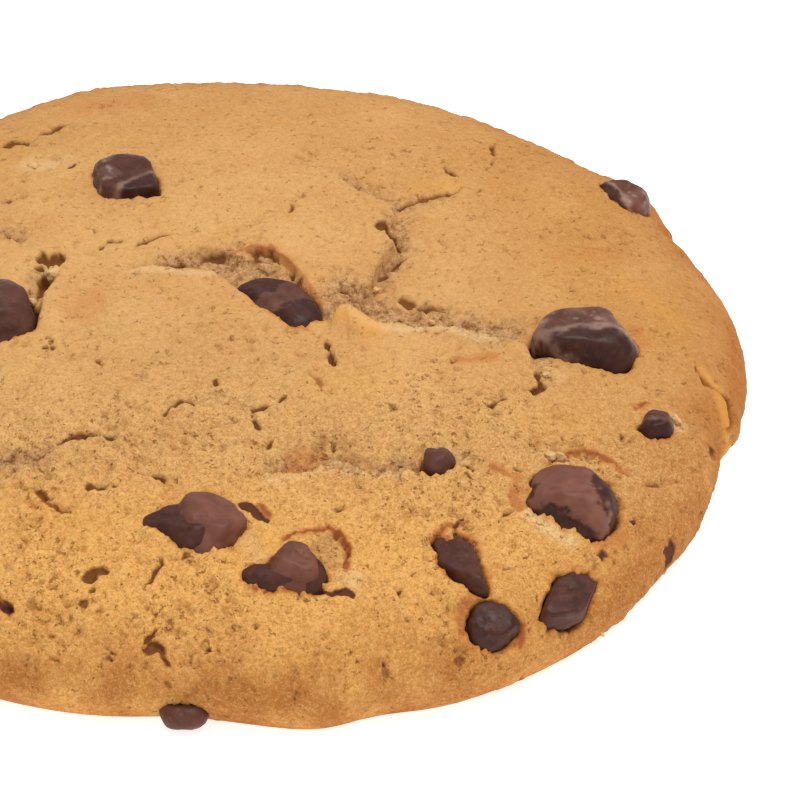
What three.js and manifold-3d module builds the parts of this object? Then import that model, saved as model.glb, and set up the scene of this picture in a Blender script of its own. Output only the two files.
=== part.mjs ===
// A chocolate chip cookie: a low dome of baked dough with an uneven rim, cracks in its crust and
// chocolate chips half sunk into it. Millimetres, +Z up; the origin is the middle of the flat base.

import * as THREE from 'three';
import { mergeVertices } from 'three/addons/utils/BufferGeometryUtils.js';
import Module from 'manifold-3d';

// ---- driving dimensions -------------------------------------------------------------------

const DISC_RADIUS = 45;
const MIDDLE_HEIGHT = 11.5;
const WIDEST_HEIGHT = 3;
const FOOT_INSET = 1.5;
const DOME_POWER = 3.2;
const DISC_CENTRE = { x: 0, y: 0.5 };
const POCKET_GAP = 0.35;
const CHIP_SQUARENESS = 2.4;
const SAME_POINT = 1e-4;

const SPOKES = 72;
const TOP_RINGS = 15;
const SIDE_RINGS = 3;
const CHIP_SPOKES = 10;
const CHIP_RINGS = 7;

// Where the rim stands out from the round or falls short of it: direction and half width in
// degrees, and how far out in mm.
const RIM_LOBES = [
  { at: 36, wide: 5, out: 0.9 },
  { at: 50, wide: 10, out: -0.4 },
  { at: 76, wide: 15, out: -0.3 },
  { at: 113, wide: 11, out: 0.7 },
  { at: 148, wide: 13, out: -0.6 },
  { at: 177, wide: 11, out: 0.5 },
  { at: -154, wide: 9, out: -0.7 },
  { at: -133, wide: 8, out: 0.7 },
  { at: -112, wide: 7, out: 0.3 },
  { at: -95, wide: 9, out: -1.6 },
  { at: -79, wide: 5, out: 0.8 },
  { at: -67, wide: 6, out: 0.5 },
  { at: -51, wide: 13, out: 1.3 },
  { at: -20, wide: 11, out: -0.6 },
  { at: -9, wide: 3, out: -0.6 },
  { at: 2, wide: 9, out: 0.3 },
];

// The fine scallops of the rim: waves in one round, size in mm and where they start, in degrees.
const RIM_RIPPLES = [
  { waves: 11, size: 0.16, start: 40 },
  { waves: 19, size: 0.11, start: 200 },
];

// Swells and hollows of the top crust, from the middle of the disc.
const SWELLS = [
  { x: 20, y: -9, across: 8, up: 0.7 },
  { x: 10.6, y: -3.2, across: 2.6, up: 0.8 },
  { x: 15, y: 2.4, across: 5, up: -1.2 },
  { x: 21, y: 0.4, across: 5, up: -0.8 },
  { x: -0.5, y: 6.6, across: 4, up: -0.9 },
  { x: -8, y: 0, across: 8, up: 0.4 },
  { x: 6, y: 14, across: 8, up: 0.4 },
  { x: 14, y: 20, across: 4, up: -0.4 },
  { x: -18, y: -21, across: 5, up: -0.7 },
  { x: 8, y: -22, across: 4.5, up: -0.6 },
  { x: -10, y: -32, across: 9, up: 0.5 },
  { x: 14, y: -28, across: 5, up: 0.3 },
  { x: 27, y: -12, across: 4, up: -0.3 },
  { x: 34, y: 8, across: 8, up: 0.4 },
  { x: -30, y: 2, across: 9, up: 0.5 },
  { x: -24, y: 18, across: 6, up: -0.5 },
  { x: -33, y: -16, across: 7, up: -0.4 },
];

// The cracks of the crust: their route, how wide they gape and how deep they go.
const CRACKS = [
  { wide: 1.4, deep: 1.7, route: [[-17.5, 9.5], [-14.5, 6.2], [-11.8, 8.0], [-8.9, 9.4], [-5.6, 10.9]] },
  { wide: 1.4, deep: 1.7, route: [[-8.0, 7.0], [-5.9, 5.8], [-3.6, 5.4], [-0.8, 6.6], [2.4, 8.4]] },
  { wide: 1.8, deep: 1.7,
    route: [[9.2, 4.0], [10.0, 1.6], [12.4, -0.4], [16.0, -1.4], [20.2, -2.2], [24.5, -4.2]] },
  { wide: 1.4, deep: 1.9, route: [[24.5, -4.6], [26.2, -7.4], [26.6, -9.8], [26.1, -12.2]] },
  { wide: 1.2, deep: 1.9, route: [[9.2, -4.6], [9.0, -7.0], [8.4, -9.1]] },
  { wide: 1.0, deep: 1.2, route: [[3.6, 22.9], [6.2, 22.1], [9.2, 20.6], [13.0, 16.9], [14.6, 14.7]] },
  { wide: 1.0, deep: 1.2, route: [[15.2, 15.6], [17.6, 16.8], [20.6, 19.6]] },
  { wide: 1.5, deep: 1.6, route: [[14.6, 13.4], [14.3, 11.0], [15.0, 8.6], [13.6, 5.4], [11.6, 2.6]] },
  { wide: 1.0, deep: 1.3, route: [[-15.1, -19.5], [-12.4, -18.1], [-9.3, -18.9]] },
  { wide: 0.9, deep: 1.1, route: [[-8.8, -22.0], [-6.6, -23.2], [-4.3, -24.4]] },
  { wide: 0.9, deep: 1.1, route: [[-18.1, -24.2], [-15.6, -25.4], [-13.4, -27.0]] },
  { wide: 0.9, deep: 1.2, route: [[40.6, -3.0], [41.8, -5.2], [42.5, -7.4], [42.8, -9.4]] },
  { wide: 1.2, deep: 1.4, route: [[-27.4, 16.4], [-25.0, 14.0], [-22.0, 12.4], [-19.4, 11.4]] },
  { wide: 1.0, deep: 1.2, route: [[-38.4, -9.6], [-34.6, -12.0], [-29.6, -11.4]] },
];

// The chips: where they sit from the middle of the disc, how high their middle is above the crust,
// their length, width and height, the turn about +Z and the lean about their own length, in degrees.
// A facet is a flat of the chip: the way it faces, and its distance from the middle as a share of
// the distance to the skin.
const TOP_FLAT = { toward: [0, 0.3, 1], share: 0.78 };
const FRONT_FLAT = { toward: [0, -1, 0.45], share: 0.82 };
const SIDE_FLAT = { toward: [-1, -0.3, 0.5], share: 0.8 };
const CHIPS = [
  { name: 'chip_back_left', x: -9.9, y: 18.9, lift: -0.3, size: [7.2, 7.6, 5.2], turn: 8, lean: 4,
    flats: [TOP_FLAT, FRONT_FLAT] },
  { name: 'chip_fissure', x: 4.2, y: 0.2, lift: -1.5, size: [9.8, 6.2, 5.4], turn: -52, lean: 8,
    flats: [TOP_FLAT] },
  { name: 'chip_back_rim', x: 34.9, y: 22.4, lift: -0.5, size: [5.8, 4.2, 4.0], turn: -36, lean: 20,
    flats: [TOP_FLAT] },
  { name: 'chip_right_large', x: 30.8, y: -3.8, lift: -0.6, size: [9.6, 7.8, 6.4], turn: -6, lean: 8,
    flats: [TOP_FLAT, FRONT_FLAT] },
  { name: 'chip_front_left', x: -1.9, y: -29.4, lift: -0.2, size: [8.9, 7.0, 6.0], turn: -12, lean: 6,
    flats: [SIDE_FLAT, FRONT_FLAT] },
  { name: 'chip_small_middle', x: 17.8, y: -21.9, lift: 0.3, size: [3.2, 2.9, 3.0], turn: 35, lean: 0,
    flats: [TOP_FLAT] },
  { name: 'chip_front_middle', x: 5.6, y: -34.2, lift: -0.3, size: [7.0, 5.6, 5.0], turn: -16, lean: 8,
    flats: [SIDE_FLAT] },
  { name: 'chip_small_right', x: 36.6, y: -13.1, lift: 0.0, size: [3.1, 3.0, 3.0], turn: 20, lean: 14,
    flats: [TOP_FLAT, FRONT_FLAT] },
  { name: 'chip_right_round', x: 29.2, y: -24.2, lift: -0.6, size: [8.2, 7.4, 6.4], turn: -14, lean: 8,
    flats: [TOP_FLAT] },
  { name: 'chip_front_long', x: 19.9, y: -32.5, lift: -0.5, size: [7.4, 3.8, 3.6], turn: -58, lean: 4,
    flats: [TOP_FLAT] },
  { name: 'chip_front_square', x: 22.3, y: -37.5, lift: -0.4, size: [4.6, 4.4, 3.6], turn: 10, lean: 26,
    flats: [TOP_FLAT, FRONT_FLAT] },
  { name: 'chip_front_slab', x: 28.7, y: -33.6, lift: -0.5, size: [7.0, 4.0, 3.4], turn: 56, lean: 16,
    flats: [TOP_FLAT] },
  { name: 'chip_under_rim', x: -2.8, y: -42.6, lift: -3.6, size: [4.2, 4.2, 2.4], turn: 0, lean: 0,
    flats: [TOP_FLAT] },
  { name: 'chip_left_middle', x: -21.4, y: -1.6, lift: -0.5, size: [8.8, 8.6, 6.2], turn: 12, lean: 0,
    flats: [TOP_FLAT, FRONT_FLAT] },
  { name: 'chip_left_back', x: -30.0, y: 21.5, lift: -0.3, size: [7.8, 6.6, 5.8], turn: 40, lean: -8,
    flats: [TOP_FLAT] },
  { name: 'chip_left_outer', x: -38.2, y: 4.6, lift: -0.2, size: [6.2, 5.2, 4.4], turn: 80, lean: -6,
    flats: [TOP_FLAT, SIDE_FLAT] },
  { name: 'chip_left_front', x: -32.8, y: -18.6, lift: -0.3, size: [8.8, 7.4, 6.2], turn: -30, lean: 10,
    flats: [TOP_FLAT, FRONT_FLAT] },
  { name: 'chip_left_small', x: -23.4, y: -13.4, lift: -0.1, size: [3.6, 3.2, 3.0], turn: 15, lean: 0,
    flats: [TOP_FLAT] },
  { name: 'chip_left_rim', x: -21.6, y: -34.6, lift: -0.3, size: [6.4, 5.4, 4.6], turn: 24, lean: 16,
    flats: [TOP_FLAT, FRONT_FLAT] },
];

// ---- the shape of the dough ---------------------------------------------------------------

const radians = THREE.MathUtils.degToRad;

// The radius of the widest ring of the rim in one direction.
function rimRadius(angle) {
  let radius = DISC_RADIUS;
  for (const lobe of RIM_LOBES) {
    const gap = angle - radians(lobe.at);
    const turned = Math.atan2(Math.sin(gap), Math.cos(gap));
    radius += lobe.out * Math.exp(-((turned / radians(lobe.wide)) ** 2));
  }
  for (const ripple of RIM_RIPPLES) {
    radius += ripple.size * Math.sin(ripple.waves * angle + radians(ripple.start));
  }
  return radius;
}

// The height of the crust: a dome that stays level and then turns down to the rim, with swells.
function crustHeight(x, y) {
  const share = Math.min(1, Math.hypot(x, y) / rimRadius(Math.atan2(y, x)));
  const dome = Math.sqrt(1 - share ** DOME_POWER);
  let height = WIDEST_HEIGHT + (MIDDLE_HEIGHT - WIDEST_HEIGHT) * dome;
  for (const swell of SWELLS) {
    const away = Math.hypot(x - swell.x, y - swell.y) / swell.across;
    height += swell.up * Math.exp(-away * away) * dome;
  }
  return height;
}

// A closed mesh from rings of points that run round +Z, with a middle point at each end.
function ringedGeometry(first, rings, last) {
  const points = [first, ...rings.flat(), last];
  const spokes = rings[0].length;
  const at = (ring, spoke) => 1 + ring * spokes + (spoke % spokes);
  const faces = [];
  for (let spoke = 0; spoke < spokes; spoke += 1) {
    faces.push(0, at(0, spoke), at(0, spoke + 1));
    for (let ring = 0; ring < rings.length - 1; ring += 1) {
      faces.push(at(ring, spoke), at(ring + 1, spoke), at(ring + 1, spoke + 1));
      faces.push(at(ring, spoke), at(ring + 1, spoke + 1), at(ring, spoke + 1));
    }
    faces.push(at(rings.length - 1, spoke), points.length - 1, at(rings.length - 1, spoke + 1));
  }
  const geometry = new THREE.BufferGeometry();
  geometry.setAttribute('position', new THREE.Float32BufferAttribute(points.flat(), 3));
  geometry.setIndex(faces);
  return geometry;
}

// One ring of the dough: the share of the rim's radius less an inset, and the height at a point.
function doughRing(share, inset, heightAt) {
  const ring = [];
  for (let spoke = 0; spoke < SPOKES; spoke += 1) {
    const angle = (2 * Math.PI * spoke) / SPOKES;
    const radius = rimRadius(angle) * share - inset;
    const x = radius * Math.cos(angle);
    const y = radius * Math.sin(angle);
    ring.push([x, y, heightAt(x, y)]);
  }
  return ring;
}

// The whole dough before anything is cut: crust from the middle out, the side, and the flat foot.
function doughGeometry() {
  const rings = [];
  for (let ring = 1; ring <= TOP_RINGS; ring += 1) {
    const share = Math.sin((Math.PI / 2) * (ring / TOP_RINGS));
    rings.push(doughRing(share, 0, crustHeight));
  }
  for (let ring = 1; ring <= SIDE_RINGS; ring += 1) {
    const down = ring / SIDE_RINGS;
    rings.push(doughRing(1, FOOT_INSET * down * down, () => WIDEST_HEIGHT * (1 - down)));
  }
  return ringedGeometry([0, 0, crustHeight(0, 0)], rings, [0, 0, 0]);
}

// A wedge along a crack's route: it gapes above the crust and runs to a thin edge below it, and
// it tapers at both ends.
function crackGeometry({ wide, deep, route }) {
  const clearance = 1;
  const endShare = 0.2;
  const sections = route.map(([x, y], step) => {
    const [ax, ay] = route[Math.max(0, step - 1)];
    const [bx, by] = route[Math.min(route.length - 1, step + 1)];
    const length = Math.hypot(bx - ax, by - ay);
    const full = step === 0 || step === route.length - 1 ? endShare : 1;
    const depth = deep * full;
    const half = (wide * full * (depth + clearance)) / (2 * depth);
    const side = [(-(by - ay) / length) * half, ((bx - ax) / length) * half];
    const crust = crustHeight(x, y);
    return [
      [x + side[0], y + side[1], crust + clearance],
      [x, y, crust - depth],
      [x - side[0], y - side[1], crust + clearance],
    ];
  });
  const middleOf = (section) => section[0].map((_, axis) => (section[0][axis] + section[1][axis]
    + section[2][axis]) / section.length);
  return ringedGeometry(middleOf(sections[0]), sections, middleOf(sections.at(-1)));
}

// ---- the chips ----------------------------------------------------------------------------

// A chip is a squarish rounded lump with flats, grown all round by the given allowance.
function chipGeometry({ size, flats }, allowance) {
  const geometry = new THREE.SphereGeometry(1, CHIP_SPOKES, CHIP_RINGS);
  geometry.deleteAttribute('normal');
  geometry.deleteAttribute('uv');
  const skin = geometry.getAttribute('position');
  const halves = new THREE.Vector3(...size).multiplyScalar(0.5).addScalar(allowance);
  const point = new THREE.Vector3();
  for (let index = 0; index < skin.count; index += 1) {
    point.fromBufferAttribute(skin, index);
    const powers = point.toArray().map((along) => Math.abs(along) ** CHIP_SQUARENESS);
    point.divideScalar((powers[0] + powers[1] + powers[2]) ** (1 / CHIP_SQUARENESS));
    for (const flat of flats) {
      const facing = new THREE.Vector3(...flat.toward).normalize();
      const over = point.dot(facing) - flat.share;
      point.addScaledVector(facing, -Math.max(0, over));
    }
    point.multiply(halves);
    skin.setXYZ(index, point.x, point.y, point.z);
  }
  return mergeVertices(geometry, SAME_POINT);
}

// Puts a mesh or an empty frame where the chip sits.
function seat(object, chip) {
  object.position.set(chip.x, chip.y, crustHeight(chip.x, chip.y) + chip.lift);
  object.rotation.set(radians(chip.lean), 0, radians(chip.turn), 'ZYX');
  object.updateMatrix();
  return object;
}

// ---- cutting ------------------------------------------------------------------------------

const wasm = await Module();
wasm.setup();

function toSolid(geometry) {
  const merged = mergeVertices(geometry, SAME_POINT);
  const vertProperties = new Float32Array(merged.getAttribute('position').array);
  const triVerts = new Uint32Array(merged.getIndex().array);
  return new wasm.Manifold(new wasm.Mesh({ numProp: 3, vertProperties, triVerts }));
}

function toGeometry(solid) {
  const { vertProperties, triVerts } = solid.getMesh();
  const geometry = new THREE.BufferGeometry();
  geometry.setAttribute('position', new THREE.BufferAttribute(vertProperties, 3));
  geometry.setIndex(new THREE.BufferAttribute(triVerts, 1));
  return geometry;
}

// The dough with its cracks opened and a pocket cut for every chip.
function cutDough() {
  let dough = toSolid(doughGeometry());
  for (const crack of CRACKS) {
    dough = dough.subtract(toSolid(crackGeometry(crack)));
  }
  for (const chip of CHIPS) {
    const frame = seat(new THREE.Object3D(), chip);
    const pocket = chipGeometry(chip, POCKET_GAP).applyMatrix4(frame.matrix);
    dough = dough.subtract(toSolid(pocket));
  }
  return toGeometry(dough);
}

// ---- the cookie ---------------------------------------------------------------------------

const doughMaterial = new THREE.MeshStandardMaterial({ color: 0xdea862, roughness: 0.85, metalness: 0 });
const chocolateMaterial = new THREE.MeshStandardMaterial({ color: 0x4a2d2a, roughness: 0.5, metalness: 0 });

function makeDough() {
  const mesh = new THREE.Mesh(cutDough(), doughMaterial);
  mesh.name = 'dough';
  return mesh;
}

function makeChip(chip) {
  const mesh = new THREE.Mesh(chipGeometry(chip, 0), chocolateMaterial);
  mesh.name = chip.name;
  return seat(mesh, chip);
}

const cookie = new THREE.Group();
cookie.position.set(DISC_CENTRE.x, DISC_CENTRE.y, 0);
cookie.add(makeDough());
for (const chip of CHIPS) {
  cookie.add(makeChip(chip));
}

export default cookie;
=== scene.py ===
"""A chocolate chip cookie: its crust, cracks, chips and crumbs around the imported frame.

Lengths are millimetres from the middle of the cookie's disc until a mesh is made, which is in metres.
"""

import math

import bmesh
import bpy
import numpy as np
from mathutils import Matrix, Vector
from mathutils.bvhtree import BVHTree


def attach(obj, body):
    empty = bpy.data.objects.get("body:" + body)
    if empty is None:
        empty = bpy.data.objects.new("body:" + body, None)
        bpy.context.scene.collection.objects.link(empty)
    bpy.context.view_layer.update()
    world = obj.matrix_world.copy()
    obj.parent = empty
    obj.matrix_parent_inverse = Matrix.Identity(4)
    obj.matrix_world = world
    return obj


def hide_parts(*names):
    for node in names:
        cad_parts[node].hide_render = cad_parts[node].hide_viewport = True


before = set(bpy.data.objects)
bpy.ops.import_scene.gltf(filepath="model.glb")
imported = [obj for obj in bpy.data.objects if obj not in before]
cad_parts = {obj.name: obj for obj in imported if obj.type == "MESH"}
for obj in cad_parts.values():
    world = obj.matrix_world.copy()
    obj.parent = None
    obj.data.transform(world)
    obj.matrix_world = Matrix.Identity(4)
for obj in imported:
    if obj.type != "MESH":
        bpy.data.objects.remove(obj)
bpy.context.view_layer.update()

# ---- driving sizes --------------------------------------------------------------------------

MM = 0.001
DISC_RADIUS = 45.0
MIDDLE_HEIGHT = 11.5
WIDEST_HEIGHT = 3.0
FOOT_INSET = 1.5
DOME_POWER = 3.2
DISC_CENTRE = np.array([0.0, 0.5, 0.0])

TOP_CELLS = 640
FOOT_CELLS = TOP_CELLS // 4
DOUGH_TRIANGLES = 190000

# The shares of their full depth that cracks and single holes reach.
CRACK_SHARE = 0.7
PIT_SHARE = 0.55

# The dough's lip beside a chip, its pocket under it, and the stain and the overhang round it. The stain is
# darkest at the chip's edge, where it is painted shade of the gap.
LIP_WIDTH = 1.6
POCKET_STEP = 2.2
POCKET_FLOOR = 2.0
HALO_WIDTH = 0.5
OVERHANG = 0.35

# The camera, in degrees and mm, and the strength of the surround and of the floor's glow. The
# floor's side is in metres.
CAMERA_PITCH = 37
CAMERA_AWAY = 480
CAMERA_AIM = (14.8, 0.5, 1.1)
CAMERA_LENS = 244.5
SURROUND_LIGHT = 0.6
FLOOR_GLOW = 0.68
FLOOR_SIDE = 6.0
FLOOR_SINK = 0.05

# Screen colours, 0 to 255.
TONES = {
    "crust": (200, 149, 90), "light crust": (208, 159, 98), "blotch": (198, 142, 79),
    "golden": (230, 168, 86), "toasted": (186, 130, 68), "browned": (166, 100, 42),
    # dark crumb and pale crumb colour the greyish hollows, partly as painted shade. cream also paints light
    # on the raised lips of broken plates.
    "dark crumb": (134, 94, 62), "pale crumb": (188, 144, 102), "cream": (222, 186, 134),
    # pore is painted shade in the small pores.
    "dark grain": (160, 100, 44), "light grain": (238, 195, 126), "pore shade": (150, 90, 36),
    # light stain and deep stain paint real stains, and also painted shade beside the fissure chip and at
    # the chips' edges.
    "light stain and shade": (190, 116, 56), "deep stain and shade": (140, 66, 32), "yellow": (216, 154, 72),
    # hollow and yellow hollow are painted shade inside cracks, holes and chip pockets.
    "hollow_shade": (120, 72, 34), "yellow hollow shade": (178, 106, 40), "melted": (84, 42, 32),
    # The dark chocolate tones also paint shade on chip sides turned from the light.
    "dark chocolate": (53, 26, 20), "brown chocolate": (70, 38, 30),
    "dark milk": (108, 64, 50), "light milk": (124, 78, 61), "bloom": (166, 134, 118),
}

# Where the rim stands out or falls short of the round: direction and half width in degrees, and mm.
RIM_LOBES = [
    (36, 5, 0.9), (50, 10, -0.4), (76, 15, -0.3), (113, 11, 0.7), (148, 13, -0.6), (177, 11, 0.5),
    (-154, 9, -0.7), (-133, 8, 0.7), (-112, 7, 0.3), (-95, 9, -1.6), (-79, 5, 0.8), (-67, 6, 0.5),
    (-51, 13, 1.3), (-20, 11, -0.6), (-9, 3, -0.6), (2, 9, 0.3), (-8.5, 2, 0.4), (-13.5, 2, -0.5),
]
# The fine scallops of the rim: waves in one round, size in mm and start in degrees.
RIM_RIPPLES = [(11, 0.16, 40), (19, 0.11, 200)]

# Swells and hollows of the crust: x, y, how far across and how high.
SWELLS = [
    (20, -9, 8, 0.7), (10.6, -3.2, 2.1, 0.4), (15, 2.4, 5, -1.2), (21, 0.4, 5, -0.8),
    (-0.5, 6.6, 4, -0.9), (-8, 0, 8, 0.4), (6, 14, 8, 0.4), (14, 20, 4, -0.4),
    (-18, -21, 5, -0.7), (8, -22, 4.5, -0.6), (-10, -32, 9, 0.5), (14, -28, 5, 0.3),
    (27, -12, 4, -0.3), (34, 8, 8, 0.4), (-30, 2, 9, 0.5), (-24, 18, 6, -0.5),
    (-33, -16, 7, -0.4),
]

# Cracks in the crust: half width, depth, how broken up (0 one open gap, 1 a chain of holes), route.
CRACKS = [
    # between the plates on the left
    (0.85, 1.3, 0.4, [(-17.0, 7.2), (-15.9, 8.0), (-14.8, 6.8)]),
    (0.8, 1.4, 0.4, [(-16.6, 1.2), (-16.4, 4.0), (-16.8, 6.4)]),
    (0.5, 0.8, 0.4, [(-13.9, 8.2), (-13.2, 8.3)]),
    (0.4, 0.7, 0.8, [(-11.7, 8.2), (-11.1, 9.6), (-10.2, 9.1), (-9.4, 10.0)]),
    (0.4, 0.7, 0.8, [(-8.8, 8.8), (-6.9, 10.2), (-5.6, 10.9)]),
    (0.45, 0.8, 0.7, [(-7.6, 5.4), (-6.6, 6.1), (-5.4, 5.8)]),
    (0.85, 1.4, 0.3, [(-5.4, 5.9), (-4.6, 6.4), (-3.8, 6.3)]),
    (0.5, 0.9, 0.8, [(-3.3, 6.5), (-2.0, 5.9)]),
    (0.6, 0.6, 0.9, [(-3.1, 8.0), (-1.8, 8.9), (1.1, 8.6), (3.2, 7.4)]),
    # the crack across the back and its branches
    (0.35, 0.5, 0.5, [(3.7, 22.9), (6.2, 22.3), (7.6, 21.4)]),
    (0.4, 0.4, 0.5, [(9.2, 19.9), (11.6, 17.6), (14.2, 15.3)]),
    (0.4, 0.6, 0.5, [(14.6, 16.2), (17.5, 17.3), (20.2, 19.0), (20.3, 20.0)]),
    (0.7, 1.1, 0.7, [(13.3, 12.7), (13.9, 11.2), (14.9, 9.6)]),
    (0.65, 0.9, 0.8, [(15.8, 8.4), (14.9, 8.0), (14.1, 7.2), (12.9, 5.4)]),
    (0.5, 0.6, 0.9, [(9.4, 3.4), (11.6, 2.4), (12.6, 2.1)]),
    (0.5, 0.6, 0.9, [(14.2, 3.2), (17.2, 2.0), (18.4, 2.0)]),
    (0.6, 0.8, 0.9, [(12.0, -1.0), (15.8, -1.2), (19.2, -1.0), (21.7, -2.6), (24.6, -4.0)]),
    # beside and below the chip in the middle
    (0.4, 1.1, 0.3, [(8.5, -5.4), (8.6, -6.8), (9.0, -8.2), (8.8, -9.2)]),
    (0.28, 0.5, 0.6, [(1.6, 9.0), (3.2, 8.2), (4.9, 6.0), (6.2, 3.6), (7.6, -0.2)]),
    (0.3, 0.4, 0.9, [(7.3, -9.8), (7.7, -11.6), (8.0, -12.6)]),
    (0.42, 1.2, 0.2, [(26.5, -8.8), (26.8, -10.4), (26.3, -11.9)]),
    (0.35, 0.5, 0.6, [(22.6, -14.0), (23.8, -12.7)]),
    (0.35, 0.6, 0.6, [(28.6, -11.8), (27.9, -13.8)]),
    # across the left and the middle
    (0.45, 0.9, 0.25, [(-14.6, -18.3), (-12.6, -17.6), (-10.9, -17.8), (-9.3, -18.6)]),
    (0.35, 0.6, 0.6, [(-15.4, -19.3), (-14.6, -18.8)]),
    (0.45, 0.7, 0.4, [(-8.7, -22.0), (-7.0, -23.5), (-4.3, -24.7)]),
    (0.35, 0.6, 0.5, [(-11.6, -24.1), (-10.6, -25.2), (-8.4, -25.3)]),
    (0.45, 0.6, 0.7, [(-18.2, -23.8), (-15.8, -24.9), (-15.0, -26.1), (-12.4, -28.3)]),
    (0.35, 0.6, 0.7, [(-7.7, -14.7), (-6.7, -14.6)]),
    (0.45, 0.8, 0.5, [(-5.4, -15.4), (-3.6, -14.0), (-2.6, -14.8)]),
    (0.4, 0.6, 0.5, [(-3.6, -18.0), (-2.4, -18.5)]),
    (0.28, 0.6, 0.2, [(-0.7, -10.6), (-0.9, -12.0)]),
    (0.45, 0.7, 0.5, [(1.9, -14.8), (4.0, -14.5), (5.4, -13.3)]),
    (0.4, 0.7, 0.4, [(2.3, -15.3), (2.6, -17.0), (3.1, -18.1)]),
    (0.28, 0.6, 0.5, [(4.0, -18.5), (3.7, -20.4)]),
    (0.35, 0.5, 0.7, [(9.4, -27.8), (11.3, -26.8)]),
    (0.4, 0.6, 0.3, [(22.9, -28.0), (23.4, -27.0), (24.9, -25.9)]),
    (0.35, 0.8, 0.2, [(18.8, -21.6), (20.4, -21.5), (21.3, -22.6)]),
    # along the front
    (0.55, 0.8, 0.4, [(-11.3, -35.2), (-9.3, -34.1)]),
    (0.4, 0.5, 0.7, [(-10.5, -35.7), (-11.4, -38.0)]),
    (0.4, 0.6, 0.6, [(-5.3, -32.8), (-5.1, -33.8), (-6.0, -35.8)]),
    (0.3, 0.55, 0.5, [(-6.5, -40.8), (-6.0, -40.1), (-4.8, -39.7)]),
    (0.35, 0.7, 0.3, [(-6.4, -40.9), (-4.8, -41.0), (-3.5, -41.9)]),
    (0.3, 0.5, 0.6, [(13.2, -41.4), (13.6, -42.0), (14.2, -42.4)]),
    (0.35, 0.6, 0.6, [(20.2, -40.1), (19.1, -41.2)]),
    (0.35, 0.6, 0.5, [(14.5, -36.0), (14.7, -37.2)]),
    (0.4, 0.7, 0.5, [(-18.2, -36.3), (-17.1, -37.3)]),
    # at the back and the right
    (0.35, 0.6, 0.5, [(23.4, 29.2), (23.2, 26.0), (23.3, 23.7)]),
    (0.3, 0.5, 0.7, [(18.5, 23.2), (19.8, 21.3)]),
    (0.3, 0.5, 0.7, [(5.1, 16.5), (5.0, 13.6)]),
    (0.3, 0.9, 0.2, [(40.5, -3.1), (41.3, -4.6), (42.4, -5.8)]),
    (0.32, 1.0, 0.2, [(42.6, -5.6), (43.3, -7.0), (43.4, -8.6)]),
    (0.25, 0.4, 0.5, [(35.9, -20.0), (37.0, -19.8)]),
    # on the side that the others leave plain
    (0.6, 1.2, 0.3, [(-27.4, 16.4), (-25.0, 14.0), (-22.0, 12.4), (-19.4, 10.6)]),
    (0.5, 1.0, 0.5, [(-38.4, -9.6), (-34.6, -12.0), (-29.6, -11.4)]),
    (0.4, 0.7, 0.6, [(-27.0, -5.4), (-29.6, -2.2), (-33.0, -0.8)]),
    (0.45, 0.8, 0.6, [(-22.4, 27.0), (-18.6, 28.6), (-15.6, 31.4)]),
    (0.45, 0.7, 0.6, [(-26.0, -27.6), (-22.6, -24.6), (-19.8, -24.0)]),
    (0.35, 0.6, 0.7, [(-35.6, 11.6), (-31.0, 9.8), (-28.8, 7.0)]),
]

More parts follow.
